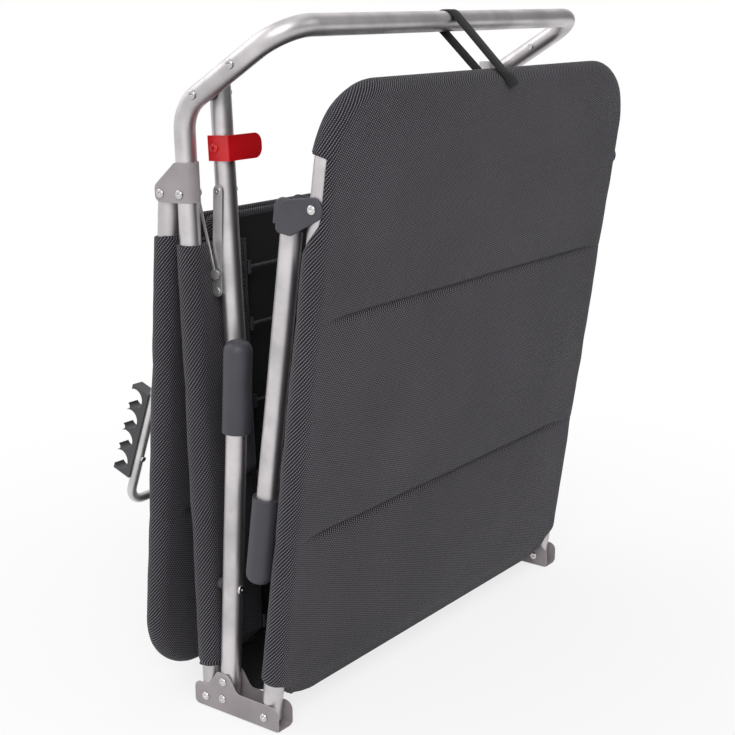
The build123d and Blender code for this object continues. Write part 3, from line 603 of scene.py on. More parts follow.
@dataclass
class MeshDraft:
    """Points, faces and map of a mesh that is being put together.

    Attributes:
        points: Places in the shared frame.
        faces: Corner numbers of each face.
        finishes: Number of each face's finish.
        map_points: The place of each point on the unrolled cloth, in metres.
    """

    points: list[Vector] = field(default_factory=list)
    faces: list[tuple[int, ...]] = field(default_factory=list)
    finishes: list[int] = field(default_factory=list)
    map_points: list[Pair] = field(default_factory=list)

    def point(self, place: Vector, on_map: Pair = (0.0, 0.0)) -> int:
        """Add a point and give its number."""
        self.points.append(place)
        self.map_points.append(on_map)
        return len(self.points) - 1

    def face(self, corners: tuple[int, ...], finish: int = 0) -> None:
        """Add a face with the number of its finish."""
        self.faces.append(corners)
        self.finishes.append(finish)

    def strip(self, first: list[int], second: list[int], finish: int = 0, closed: bool = True) -> None:
        """Join two rows of points with faces.

        Args:
            first: Numbers of the first row.
            second: Numbers of the second row, as many.
            finish: Number of the faces' finish.
            closed: Whether the rows are rings.
        """
        count = len(first)
        for index in range(count if closed else count - 1):
            after = (index + 1) % count
            self.face((first[index], first[after], second[after], second[index]), finish)

    def solid(self, rings: list[list[int]]) -> None:
        """Join rings of points into a closed body."""
        for first, second in zip(rings, rings[1:]):
            self.strip(first, second)
        self.face(tuple(reversed(rings[0])))
        self.face(tuple(rings[-1]))

    def finish(self, name: str, materials: list[bpy.types.Material]) -> bpy.types.Object:
        """Turn the draft into an object with outward, smooth faces.

        Args:
            name: The object's name.
            materials: Its finishes, in order.

        Returns:
            The object, at the origin.
        """
        mesh = bpy.data.meshes.new(name)
        mesh.from_pydata([tuple(place) for place in self.points], [], self.faces)
        for material in materials:
            mesh.materials.append(material)
        mesh.polygons.foreach_set("material_index", self.finishes)
        layer = mesh.uv_layers.new(name="cloth_map")
        for loop in mesh.loops:
            layer.data[loop.index].uv = self.map_points[loop.vertex_index]
        tidy = bmesh.new()
        tidy.from_mesh(mesh)
        bmesh.ops.recalc_face_normals(tidy, faces=tidy.faces)
        for face in tidy.faces:
            face.smooth = True
        tidy.to_mesh(mesh)
        tidy.free()
        piece = bpy.data.objects.new(name, mesh)
        bpy.context.scene.collection.objects.link(piece)
        return piece


def spaced(low: float, high: float, count: int) -> list[float]:
    """This many values from low to just before high, evenly spaced."""
    return [low + (high - low) * index / count for index in range(count)]


def resampled(path: list[Pair], count: int) -> list[Pair]:
    """Walk a path of straight runs in even steps.

    Args:
        path: The path's corners.
        count: Number of steps.

    Returns:
        The start of each step; the path's end isn't among them.
    """
    runs = [math.dist(start, end) for start, end in zip(path, path[1:])]
    steps = []
    for reach in spaced(0.0, sum(runs), count):
        for index, run in enumerate(runs):
            if reach <= run or index == len(runs) - 1:
                steps.append(between(path[index], path[index + 1], min(1.0, reach / run)))
                break
            reach -= run
    return steps


@dataclass(frozen=True)
class Spot:
    """A point of a cover's edge with its partner on the panel's inner rectangle.

    Attributes:
        edge: Place on the cover's edge, across and along.
        inner: Partner on the inner rectangle.
        sleeve: Share of the sleeve that goes round the tube.
        hem: Share of the hem that is turned in under the tube.
        slot: Share of the opening beside the tube.
        window: Share of the opening at a hinge, where the cloth only goes round the tube's front.
    """

    edge: Pair
    inner: Pair
    sleeve: float
    hem: float = 0.0
    slot: float = 0.0
    window: float = 0.0


# Way of the cloth from under the tube back to the lining: depth in from the edge and height over the sheet,
# for a plain sleeve, a turned-in hem and an opening beside the tube.
PLAIN_RETURN = (
    (20.0, -15.2), (24.0, -13.6), (27.0, -11.0), (29.0, -8.5), (30.0, -6.5), (30.4, -5.0), (30.5, -4.0),
    (30.4, -3.0), (30.3, -2.0), (30.4, -1.0), (30.8, 0.0), (31.3, 0.7), (32.0, 1.2),
)
HEM_RETURN = (
    (24.0, -15.0), (36.0, -13.2), (54.0, -12.6), (76.0, -12.5), (96.0, -12.4), (100.0, -11.2), (96.0, -10.2),
    (70.0, -10.0), (44.0, -10.0), (34.0, -10.5), (30.5, -6.0), (30.0, -2.0), (32.0, 1.2),
)
SLOT_RETURN = (
    (22.0, -14.2), (26.0, -11.2), (25.0, -8.0), (23.0, -4.0), (22.0, 0.0), (22.0, 5.0), (23.5, 9.0),
    (27.0, 11.6), (31.0, 11.9), (35.0, 11.9), (39.0, 11.9), (44.0, 11.6), (49.0, 10.5),
)
# Number of the hem's point at its fold. One point further the fabric ends and the lining starts.
HEM_FOLD = 5
PANEL_SHARES = (1.0, 0.84, 0.69, 0.55, 0.42, 0.3, 0.2, 0.12, 0.05)
PANEL_EASE = 0.75
WRAP_STEPS = 12
WINDOW_STEPS = 6
LINING_SHARES = (0.25, 0.6, 1.0)
SEAM_STEPS = 80
SLEEVE_NOISE = 7.0
CLOTH_RINGS = len(PANEL_SHARES) + WRAP_STEPS + 1 + HEM_FOLD + 1


@dataclass(frozen=True)
class Padding:
    """How a cover swells between its seams, and how its cloth waves, in millimetres.

    Attributes:
        valley: Height of the lying face at a seam, over the section's sheet.
        crown: Height of the swelling between two seams.
        fullness: Power that makes the swelling's curve full.
        overhang: How far past both ends the curve comes down.
        droop: Share of the swelling that is lost at the side edge.
        wave: Height of the slow waves.
        wave_size: Their size, across and along.
        groove: Depth and width of a sewn channel.
        pucker: Height of the puckers beside a seam.
        pucker_reach: How far they run out from it.
        pucker_size: Their size, across and along.
        sleeve: Radius of the cloth round the tube at a seam.
        sleeve_swell: How much it grows between two seams.
        sleeve_slack: Height of the sleeve's uneven places.
        sleeve_size: Their size, along.
    """

    valley: float = 10.0
    crown: float = 8.0
    fullness: float = 0.42
    overhang: float = 60.0
    droop: float = 0.35
    wave: float = 1.5
    wave_size: Pair = (130.0, 105.0)
    groove: Pair = (3.4, 2.8)
    pucker: float = 1.5
    pucker_reach: float = 17.0
    pucker_size: Pair = (13.0, 46.0)
    sleeve: float = 14.7
    sleeve_swell: float = 1.5
    sleeve_slack: float = 0.7
    sleeve_size: float = 34.0


@dataclass(frozen=True)
class Fineness:
    """How close together a cover's spots lie round its edge.

    Attributes:
        near_corner: Spots from the near corner to the straight side.
        far_corner: Spots from the straight side to the far corner.
        end_corner: Spots from a corner to the straight part of an end.
        end_middle: Spots of that straight part.
        least: Distance of the rows where the shape changes, in millimetres.
        most: Greatest distance of the rows.
        growth: How fast their distance grows away from there.
    """

    near_corner: int = 16
    far_corner: int = 40
    end_corner: int = 9
    end_middle: int = 58
    least: float = 1.3
    most: float = 8.5
    growth: float = 0.22


@dataclass
class PaddedCover:
    """A padded cover sewn round the tubes of one section: panel, sleeves and turned-in hems, in millimetres.

    Attributes:
        name: The piece's name.
        body: The body that it rides on.
        node: The plain solid that it replaces.
        place: The section's own axes.
        face: 1 where the lying face looks out of the section's own out direction, or else -1.
        start: Near edge, along.
        end: Far edge, along.
        seams: Sewn channels across the panel, along.
        sleeve: Stretch that goes round the side tubes, along.
        hem: Stretch of the turned-in hem, along.
        rim_radius: Outer corner radius at the far rim, or 0 for a bare far edge.
        half: Distance of the side edge from the middle.
        tube: Distance of the side tube from the middle.
        side_reach: Distance from the side edge to the panel's inner rectangle.
        end_reach: Distance from a bare end to it.
        fan: Length of the stretch by each corner where the spots fan out.
        lining_face: Height of the lining over the section's sheet.
        edge_radius, edge_middle, edge_half: Depth, middle and half height of a bare edge's round.
        bare_return: Share of the reach where the turned cloth of a bare edge ends.
        sleeve_ease, hem_ease: Lengths over which a sleeve and a hem begin and end.
        cloth_inside: Radius of the cloth's inside round the tube.
        window_turn: Degrees of the tube that a hinge window leaves bare.
        window_ease: Share of the window over which its inside comes in.
        window_return: Share of the reach where the cloth of a window ends.
        window_drop: Stretch, in from the edge, where that cloth comes down to the lining.
        seam_margin: Distance of a seam's last stitch from the tube's middle.
        hem_stitches: Place of the hem's stitches, in from the edge and out of the sheet.
        hem_stitch_ends: Distance of the first and last of them from the hem's ends.
        padding: How the padding swells.
        fineness: How close the spots lie.
        seed: Start of the cover's own noise.
    """

    name: str
    body: str
    node: str
    place: SectionPlace
    face: float
    start: float
    end: float
    seams: tuple[float, ...]
    sleeve: Pair
    hem: Pair
    rim_radius: float = 0.0
    half: float = 336.0
    tube: float = 320.0
    side_reach: float = 90.0
    end_reach: float = 40.0
    fan: float = 12.0
    lining_face: float = 2.0
    edge_radius: float = 5.0
    edge_middle: float = 7.5
    edge_half: float = 5.5
    bare_return: float = 0.45
    sleeve_ease: float = 3.0
    hem_ease: float = 2.5
    cloth_inside: float = 13.1
    window_turn: float = 130.0
    window_ease: float = 0.15
    window_return: float = 0.47
    window_drop: Pair = (33.5, 40.0)
    seam_margin: float = 4.0
    hem_stitches: Pair = (92.0, 12.6)
    hem_stitch_ends: Pair = (45.0, 6.0)
    padding: Padding = Padding()
    fineness: Fineness = Fineness()
    seed: float = 0.0

    @property
    def tube_depth(self) -> float:
        """Distance from the side edge to the side tube's middle."""
        return self.half - self.tube

    def side_edge(self, along: float) -> float:
        """Distance of the cover's side edge from the middle."""
        return self.half

    def events(self) -> list[float]:
        """Places along the side where the shape changes quickly."""
        return [*self.seams, *self.sleeve, *self.hem]

    def sleeve_share(self, along: float) -> float:
        """Share of the sleeve at a place along the side."""
        low, high = self.sleeve
        ease = self.sleeve_ease
        return smooth(low, low + ease, along) - smooth(high - ease, high, along)

    def hem_share(self, along: float) -> float:
        """Share of the hem at a place along the side."""
        low, high = self.hem
        ease = self.hem_ease
        return smooth(low, low + ease, along) - smooth(high - ease, high, along)

    def slot_share(self, along: float) -> float:
        """Share of the opening beside the tube."""
        return 0.0

    def window_share(self, along: float) -> float:
        """Share of the opening at a hinge."""
        return 0.0

    def lower_corner(self) -> tuple[list[Pair], list[Pair]]:
        """The near corner's edge, from its middle to the side and from its middle to the near end."""
        raise NotImplementedError

    def upper_corner(self) -> tuple[list[Pair], list[Pair]]:
        """The far corner's edge, from its middle to the side and from its middle to the far end."""
        radius = self.rim_radius
        centre = (self.half - radius, self.end - radius)
        to_side = []
        to_end = []
        for step in range(10):
            turn = math.radians(45.0 - 5.0 * step)
            to_side.append((centre[0] + radius * math.cos(turn), centre[1] + radius * math.sin(turn)))
            to_end.append((centre[0] + radius * math.sin(turn), centre[1] + radius * math.cos(turn)))
        return to_side, to_end

    def swell(self, along: float) -> float:
        """How far the padding swells between the seams on both sides of a place, from 0 to 1."""
        overhang = self.padding.overhang
        stops = (self.start - overhang, *self.seams, self.end + overhang)
        for low, high in zip(stops, stops[1:]):
            if along <= high:
                share = (along - low) / (high - low)
                return max(0.0, 4.0 * share * (1.0 - share)) ** self.padding.fullness
        return 0.0

    def height(self, across: float, along: float) -> float:
        """Height of the lying face over the section's sheet, with channels, puckers and slow waves."""
        soft = self.padding
        flat = 1.0 - soft.droop * abs(across / self.half) ** 5
        height = soft.valley + soft.crown * self.swell(along) * flat
        wide, long = soft.wave_size
        height += soft.wave * noise.noise(Vector((across / wide, along / long, self.seed)))
        wide, long = soft.pucker_size
        for seam in self.seams:
            height -= soft.groove[0] * bump(seam, soft.groove[1], along)
            near = math.exp(-abs(along - seam) / soft.pucker_reach)
            pucker = noise.noise(Vector((across / wide, along / long, self.seed + seam)))
            height += soft.pucker * near * pucker
        return height

    def sleeve_radius(self, along: float) -> float:
        """Radius of the cloth round the tube, drawn in a little at the seams."""
        soft = self.padding
        loose = soft.sleeve_slack * noise.noise(Vector((along / soft.sleeve_size, self.seed, SLEEVE_NOISE)))
        return soft.sleeve + soft.sleeve_swell * self.swell(along) + loose

    def rows(self) -> list[float]:
        """Places along the straight sides, close together where the shape changes."""
        low, high = self.straight()
        rows = []
        along = low
        events = self.events()
        while along < high - 1.0:
            rows.append(along)
            near = min(abs(along - event) for event in events)
            along += min(self.fineness.most, self.fineness.least + self.fineness.growth * near)
        return rows

    def inner_rows(self) -> Pair:
        """Near and far side of the panel's inner rectangle."""
        far = self.side_reach if self.rim_radius else self.end_reach
        return self.start + self.end_reach, self.end - far

    def straight(self) -> Pair:
        """Stretch of the side where the edge and its partner lie level."""
        low, high = self.inner_rows()
        return low + self.fan, high - self.fan

    def side(self) -> list[Spot]:
        """The right-hand side's spots, from the near corner to just before the far corner."""
        low, high = self.inner_rows()
        fan_low, fan_high = self.straight()
        inner = self.half - self.side_reach
        near_path = [*self.lower_corner()[0], (self.side_edge(fan_low), fan_low)]
        far_path = [(self.side_edge(fan_high), fan_high), *reversed(self.upper_corner()[0])]
        near_count, far_count = self.fineness.near_corner, self.fineness.far_corner
        edges = resampled(near_path, near_count)
        partners = spaced(low, fan_low, near_count)
        for along in self.rows():
            edges.append((self.side_edge(along), along))
            partners.append(along)
        edges += resampled(far_path, far_count)
        partners += spaced(fan_high, high, far_count)
        spots = []
        for edge, partner in zip(edges, partners):
            along = edge[1]
            spots.append(
                Spot(
                    edge,
                    (inner, partner),
                    self.sleeve_share(along),
                    self.hem_share(along),
                    self.slot_share(along),
                    self.window_share(along),
                )
            )
        return spots

    def end_spots(self, far: bool) -> list[Spot]:
        """Spots of the near or far end, from the left corner to just before the right one."""
        level = self.inner_rows()[1 if far else 0]
        line = self.end if far else self.start
        inner = self.half - self.side_reach
        straight = inner - self.fan
        corner = (self.upper_corner() if far else self.lower_corner())[1]
        path = [*corner, (straight, line)]
        count = self.fineness.end_corner
        right = list(zip(resampled(path, count), spaced(inner, straight, count)))
        spots = []
        share = 1.0 if far and self.rim_radius else 0.0
        left = [((-edge[0], edge[1]), -across) for edge, across in right]
        steps = spaced(-straight, straight, self.fineness.end_middle)
        middle = [((across, line), across) for across in steps]
        last = [((straight, line), straight)] + list(reversed(right[1:]))
        for edge, across in left + middle + last:
            spots.append(Spot(edge, (across, level), share))
        return spots

    def profile(self, spot: Spot) -> list[Pair]:
        """Path of the cloth from the panel over the edge and back under it.

        Args:
            spot: Place on the edge.

        Returns:
            Distance in from the edge and height over the sheet, ring by ring.
        """
        reach = math.dist(spot.edge, spot.inner)
        along = spot.edge[1]
        wrap = spot.sleeve
        radius = self.sleeve_radius(along)
        rim = self.tube_depth * wrap + self.edge_radius * (1.0 - wrap)
        top = radius * wrap + (self.edge_middle + self.edge_half) * (1.0 - wrap)
        path = []
        for share in PANEL_SHARES:
            depth = rim + share * (reach - rim)
            on_panel = between(spot.edge, spot.inner, depth / reach)
            ease = smooth(0.0, PANEL_EASE, share)
            path.append((depth, top + (self.height(*on_panel) - top) * ease))
        cut = -90.0 + self.window_turn * spot.window
        for step in range(WRAP_STEPS + 1):
            turn = math.radians(90.0 + (cut - 90.0) * step / WRAP_STEPS)
            round_tube = (self.tube_depth - radius * math.cos(turn), radius * math.sin(turn))
            bare = (
                self.edge_radius * (1.0 - math.cos(turn)),
                self.edge_middle + self.edge_half * math.sin(turn),
            )
            path.append(between(bare, round_tube, wrap))
        stretch = min(1.0, reach / self.side_reach)
        opened = smooth(0.0, self.window_ease, spot.window)
        for index, (plain, hem, slot) in enumerate(zip(PLAIN_RETURN, HEM_RETURN, SLOT_RETURN)):
            turned = between(between(plain, hem, spot.hem), slot, spot.slot)
            turned = (turned[0] * stretch, turned[1])
            turned = between(turned, self.under_window(index, cut, reach), opened)
            share = (index + 1) / len(PLAIN_RETURN)
            depth = self.edge_radius + (self.bare_return * reach - self.edge_radius) * share
            path.append(between((depth, self.lining_face), turned, wrap))
        start = path[-1][0]
        for share in LINING_SHARES:
            path.append((start + (reach - start) * share, self.lining_face))
        return path

    def under_window(self, index: int, cut: float, reach: float) -> Pair:
        """Inside of the cloth at a hinge window: back round the tube's front, then down to the lining.

        Args:
            index: Number of the point on the way back.
            cut: Angle where the cloth ends on the tube, in degrees.
            reach: Distance from the edge to the panel's inner rectangle.

        Returns:
            Distance in from the edge and height over the sheet.
        """
        middle, inside = self.tube_depth, self.cloth_inside
        if index < WINDOW_STEPS:
            turn = math.radians(cut + (90.0 - cut) * (index + 1) / WINDOW_STEPS)
            return (middle - inside * math.cos(turn), inside * math.sin(turn))
        share = (index + 1 - WINDOW_STEPS) / (len(PLAIN_RETURN) - WINDOW_STEPS)
        depth = middle + (self.window_return * reach - middle) * share
        return (depth, inside + (self.lining_face - inside) * smooth(*self.window_drop, depth))

    def loop(self) -> list[Spot]:
        """All spots round the edge: near end, right side, far end and left side."""
        right = self.side()
        corner = self.upper_corner()[0][0]
        inner = (self.half - self.side_reach, self.inner_rows()[1])
        share = 1.0 if self.rim_radius else 0.0
        closing = Spot(corner, inner, share)
        near = self.end_spots(False)
        far = [self.mirrored(spot) for spot in self.end_spots(True)]
        left = [self.mirrored(spot) for spot in reversed([*right[1:], closing])]
        return near + right + far + left

    @staticmethod
    def mirrored(spot: Spot) -> Spot:
        """The same spot on the other side."""
        return replace(spot, edge=(-spot.edge[0], spot.edge[1]), inner=(-spot.inner[0], spot.inner[1]))

    def build(self, palette: Palette) -> bpy.types.Object:
        """Make the cover and set it on its body in place of the plain pad.

        Args:
            palette: The finishes.

        Returns:
            The cover.
        """
        draft = MeshDraft()
        spots = self.loop()
        rings = self.rings(draft, spots)
        for index in range(len(rings) - 1):
            draft.strip(rings[index], rings[index + 1], 0 if index < CLOTH_RINGS else 1)
        self.panel(draft, spots, rings[0], 0)
        self.panel(draft, spots, rings[-1], 1)
        piece = draft.finish(self.name, [palette["cover_fabric"], palette["lining"]])
        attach(piece, self.body)
        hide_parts(self.node)
        return piece

    def rings(self, draft: MeshDraft, spots: list[Spot]) -> list[list[int]]:
        """Add the points that go round the cover, ring by ring."""
        rings: list[list[int]] = []
        for spot in spots:
            reach = math.dist(spot.edge, spot.inner)
            inward = ((spot.inner[0] - spot.edge[0]) / reach, (spot.inner[1] - spot.edge[1]) / reach)
            unrolled = 0.0
            before = None
            for index, (depth, height) in enumerate(self.profile(spot)):
                if before is not None:
                    unrolled += math.dist(before, (depth, height))
                before = (depth, height)
                across = spot.edge[0] + inward[0] * depth
                along = spot.edge[1] + inward[1] * depth
                on_map = (
                    self.face * (spot.inner[0] - inward[0] * unrolled) * MILLIMETRE,
                    (spot.inner[1] - inward[1] * unrolled) * MILLIMETRE,
                )
                if index == len(rings):
                    rings.append([])
                place = self.place.point(across, along, self.face * height)
                rings[index].append(draft.point(place, on_map))
        return rings

    def panel(self, draft: MeshDraft, spots: list[Spot], ring: list[int], finish: int) -> None:
        """Fill the inner rectangle with a grid that starts from the ring round it."""
        columns = len(self.end_spots(False))
        rows = len(self.side())
        numbers: dict[tuple[int, int], int] = {}
        for index, number in enumerate(ring):
            if index < columns:
                numbers[(0, index)] = number
            elif index < columns + rows:
                numbers[(index - columns, columns)] = number
            elif index < 2 * columns + rows:
                numbers[(rows, 2 * columns + rows - index)] = number
            else:
                numbers[(2 * columns + 2 * rows - index, 0)] = number
        for row in range(1, rows):
            along = spots[columns + row].inner[1]
            for column in range(1, columns):
                across = spots[column].inner[0]
                height = self.height(across, along) if finish == 0 else self.lining_face
                place = self.place.point(across, along, self.face * height)
                on_map = (self.face * across * MILLIMETRE, along * MILLIMETRE)
                numbers[(row, column)] = draft.point(place, on_map)
        for row in range(rows):
            for column in range(columns):
                corners = ((row, column), (row, column + 1), (row + 1, column + 1), (row + 1, column))
                draft.face(tuple(numbers[corner] for corner in corners), finish)

    def on_face(self, across: float, along: float) -> Vector:
        """Point of the lying face, also over the side tube."""
        depth = self.half - abs(across)
        share = min(1.0, (depth - self.tube_depth) / (self.side_reach - self.tube_depth))
        top = self.sleeve_radius(along)
        height = top + (self.height(across, along) - top) * smooth(0.0, PANEL_EASE, share)
        return self.place.point(across, along, self.face * height)

    def stitch_lines(self) -> list[list[Vector]]:
        """Lines of the seams on the lying face and of the hems on the underside."""
        lines = []
        reach = self.tube - self.seam_margin
        steps = spaced(-reach, reach + 2.0 * self.seam_margin, SEAM_STEPS)
        for seam in self.seams:
            lines.append([self.on_face(across, seam) for across in steps])
        depth, out = self.hem_stitches
        ends = (self.hem[0] + self.hem_stitch_ends[0], self.hem[1] - self.hem_stitch_ends[1])
        for side in (-1.0, 1.0):
            across = side * (self.half - depth)
            lines.append([self.place.point(across, along, -self.face * out) for along in ends])
        return lines


@dataclass
class FootCover(PaddedCover):
    """Cover of the foot section, with a window for each foot leg's hinge and cut lower corners."""

    window: Pair = (548.0, 683.0)
    window_full: float = 612.0
    window_end: float = 3.0
    cut_side: tuple[Pair, ...] = ((304.0, 11.0), (318.0, 22.0), (332.0, 29.0), (336.0, 35.0))
    cut_end: tuple[Pair, ...] = ((304.0, 11.0), (282.0, 4.0), (262.0, 0.0))

    def window_share(self, along: float) -> float:
        """Share of the hinge window, which widens slowly from its lower end."""
        low, high = self.window
        widening = min(1.0, max(0.0, (along - low) / (self.window_full - low)))
        return widening * (1.0 - smooth(high, high + self.window_end, along))

    def events(self) -> list[float]:
        """Places along the side where the shape changes quickly."""
        return [*super().events(), *self.window]

    def lower_corner(self) -> tuple[list[Pair], list[Pair]]:
        """The cut near corner."""
        to_side = [(across, self.start + rise) for across, rise in self.cut_side]
        to_end = [(across, self.start + rise) for across, rise in self.cut_end]
        return to_side, to_end


@dataclass
class NeckedCover(PaddedCover):
    """Cover that narrows to a neck between the top brackets."""

    neck: float = 284.0

    def neck_corner(self, line: float, inward: float) -> tuple[list[Pair], list[Pair]]:
        """The neck's corner.

        Args:
            line: Place of the neck's end, along.
            inward: 1 where the cover lies beyond that end, or else -1.

        Returns:
            The edge from the corner's middle to the side, and from there to the end.
        """
        middle = (self.neck - 3.0, line + 3.0 * inward)
        return [middle, (self.neck, line + 9.0 * inward)], [middle, (self.neck - 9.0, line)]


@dataclass
class SeatCover(NeckedCover):
    """Cover of the seat, with a neck at its far end."""

    neck_from: float = 564.0
    neck_ease: float = 1.5

    def side_edge(self, along: float) -> float:
        """Distance of the side edge from the middle, stepped in at the neck."""
        low, high = self.neck_from - self.neck_ease, self.neck_from + self.neck_ease
        return self.half - (self.half - self.neck) * smooth(low, high, along)

    def lower_corner(self) -> tuple[list[Pair], list[Pair]]:
        """The near corner, a little rounded."""
        low = self.start
        return [(333.0, low + 3.0), (336.0, low + 10.0)], [(333.0, low + 3.0), (326.0, low)]

    def upper_corner(self) -> tuple[list[Pair], list[Pair]]:
        """The neck's far corner."""
        return self.neck_corner(self.end, -1.0)


@dataclass
class BackrestCover(NeckedCover):
    """Cover of the backrest, with a neck at the hinge and openings beside the tubes for the adjuster rod."""

    neck_to: float = 48.0
    neck_ease: float = 2.0
    slot: Pair = (88.0, 218.0)
    slot_ease: Pair = (3.0, 2.0)

    def side_edge(self, along: float) -> float:
        """Distance of the side edge from the middle, stepped in at the neck."""
        low, high = self.neck_to - self.neck_ease, self.neck_to + self.neck_ease
        return self.neck + (self.half - self.neck) * smooth(low, high, along)

    def slot_share(self, along: float) -> float:
        """Share of the opening beside the tube."""
        low, high = self.slot
        opening, closing = self.slot_ease
        return smooth(low - opening, low, along) - smooth(high, high + closing, along)

    def events(self) -> list[float]:
        """Places along the side where the shape changes quickly."""
        return [*super().events(), *self.slot, self.neck_to]

    def lower_corner(self) -> tuple[list[Pair], list[Pair]]:
        """The neck's near corner."""
        return self.neck_corner(self.start, 1.0)


class RepeatTrees:
    """Geometry node trees for what follows a line: stitches and round cords."""

    def __init__(self) -> None:
        """Build both trees once."""
        self.stitches = self.build_stitches()
        self.cords = self.build_cords()

    @staticmethod
    def start(name: str, sizes: dict[str, float]) -> tuple[Board, dict, bpy.types.Node]:
        """Open a tree with a line as geometry, named sizes in metres and a finish."""
        inputs = {"Geometry": "Geometry", **sizes, "Material": "Material"}
        return open_group("GeometryNodeTree", name, inputs, {"Geometry": "Geometry"})

    @staticmethod
    def close(
        board: Board, geometry: bpy.types.NodeSocket, entry: dict, end: bpy.types.Node
    ) -> bpy.types.NodeTree:
        """Realize the copies, smooth them and give them their finish."""
        real = board.add("GeometryNodeRealizeInstances", {"Geometry": geometry})
        shaded = board.add("GeometryNodeSetShadeSmooth", {"Geometry": real.outputs[0]})
        dressed = board.add(
            "GeometryNodeSetMaterial", {"Geometry": shaded.outputs[0], "Material": entry["Material"]}
        )
        board.feed(end.inputs[0], dressed.outputs[0])
        return board.tree

    def build_stitches(self) -> bpy.types.NodeTree:
        """Short rounded stitches at an even pitch along a line."""
        board, entry, end = self.start("stitch_row", {"Pitch": 0.006, "Length": 0.0042, "Thickness": 0.0011})
        line = board.add("GeometryNodeMeshToCurve", {"Mesh": entry["Geometry"]})
        marks = board.add(
            "GeometryNodeResampleCurve", {"Curve": line.outputs[0], "Length": entry["Pitch"]}, mode="LENGTH"
        )
        tangent = board.add("GeometryNodeInputTangent")
        turn = board.add("FunctionNodeAlignRotationToVector", {"Vector": tangent.outputs[0]}, axis="X")
        seed = board.add("GeometryNodeMeshUVSphere", {"Segments": 6, "Rings": 4, "Radius": 0.5})
        size = board.add(
            "ShaderNodeCombineXYZ", {"X": entry["Length"], "Y": entry["Thickness"], "Z": entry["Thickness"]}
        )
        copies = board.add(
            "GeometryNodeInstanceOnPoints",
            {
                "Points": marks.outputs[0],
                "Instance": seed.outputs["Mesh"],
                "Rotation": turn.outputs[0],
                "Scale": size.outputs[0],
            },
        )
        return self.close(board, copies.outputs[0], entry, end)

    def build_cords(self) -> bpy.types.NodeTree:
        """Round cord or bar along each line, closed at its ends."""
        board, entry, end = self.start("round_cord", {"Radius": 0.002})
        line = board.add("GeometryNodeMeshToCurve", {"Mesh": entry["Geometry"]})
        ring = board.add("GeometryNodeCurvePrimitiveCircle", {"Resolution": 12, "Radius": entry["Radius"]})
        body = board.add(
            "GeometryNodeCurveToMesh",
            {"Curve": line.outputs[0], "Profile Curve": ring.outputs[0], "Fill Caps": True},
        )
        return self.close(board, body.outputs[0], entry, end)

    @staticmethod
    def grow(
        name: str,
        lines: list[list[Vector]],
        tree: bpy.types.NodeTree,
        sizes: dict[str, float],
        material: bpy.types.Material,
    ) -> bpy.types.Object:
        """Run a tree along lines and keep the result as a plain mesh.

        Args:
            name: The piece's name.
            lines: Points of each line, in metres.
            tree: The node tree.
            sizes: Values for its named inputs.
            material: The finish.

        Returns:
            The piece, at the origin.
        """
        points = [tuple(point) for line in lines for point in line]
        edges = []
        first = 0
        for line in lines:
            edges += [(first + index, first + index + 1) for index in range(len(line) - 1)]
            first += len(line)
        mesh = bpy.data.meshes.new(name + "_lines")
        mesh.from_pydata(points, edges, [])
        guide = bpy.data.objects.new(name + "_lines", mesh)
        bpy.context.scene.collection.objects.link(guide)
        modifier = guide.modifiers.new("grow", "NODES")
        modifier.node_group = tree
        for item in tree.interface.items_tree:
            if item.in_out == "INPUT" and item.name in sizes:
                modifier[item.identifier] = sizes[item.name]
            if item.in_out == "INPUT" and item.name == "Material":
                modifier[item.identifier] = material
        view = bpy.context.evaluated_depsgraph_get()
        view.update()
        grown = bpy.data.meshes.new_from_object(guide.evaluated_get(view))
        grown.name = name
        bpy.data.objects.remove(guide)
        piece = bpy.data.objects.new(name, grown)
        bpy.context.scene.collection.objects.link(piece)
        return piece


@dataclass
class Lacing:
    """Elastic cords across a cover's underside, each with a toggle at both hems, in millimetres."""

    cover: PaddedCover
    node: str
    places: tuple[float, ...]
    hem_width: float = 84.0
    cord_radius: float = 2.0
    toggle_radius: float = 3.0
    toggle_length: float = 16.0
    out: float = 11.0

    def build(self, trees: RepeatTrees, palette: Palette) -> list[bpy.types.Object]:
        """Make the cords and toggles and set them on the cover's body.

        Args:
            trees: Trees that follow a line.
            palette: The finishes.

        Returns:
            The cords and the toggles.
        """
        end = self.cover.tube - self.hem_width - self.toggle_radius
        out = -self.cover.face * self.out
        place = self.cover.place
        cords = [[place.point(-end, along, out), place.point(end, along, out)] for along in self.places]
        bars = []
        for along in self.places:
            for side in (-end, end):
                half = self.toggle_length / 2
                bars.append([place.point(side, along - half, out), place.point(side, along + half, out)])
        cord_size = {"Radius": self.cord_radius * MILLIMETRE}
        bar_size = {"Radius": self.toggle_radius * MILLIMETRE}
        laces = trees.grow(self.node + "_cords", cords, trees.cords, cord_size, palette["elastic_lacing"])
        toggles = trees.grow(self.node + "_toggles", bars, trees.cords, bar_size, palette["rack_plastic"])
        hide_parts(self.node)
        for piece in (laces, toggles):
            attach(piece, self.cover.body)
        return [laces, toggles]


RUN_SHARES = (0.0, 0.1, 0.2, 0.35, 0.5, 0.65, 0.8, 0.9)
RIM_STEPS = 8
BAR_STEPS = 24


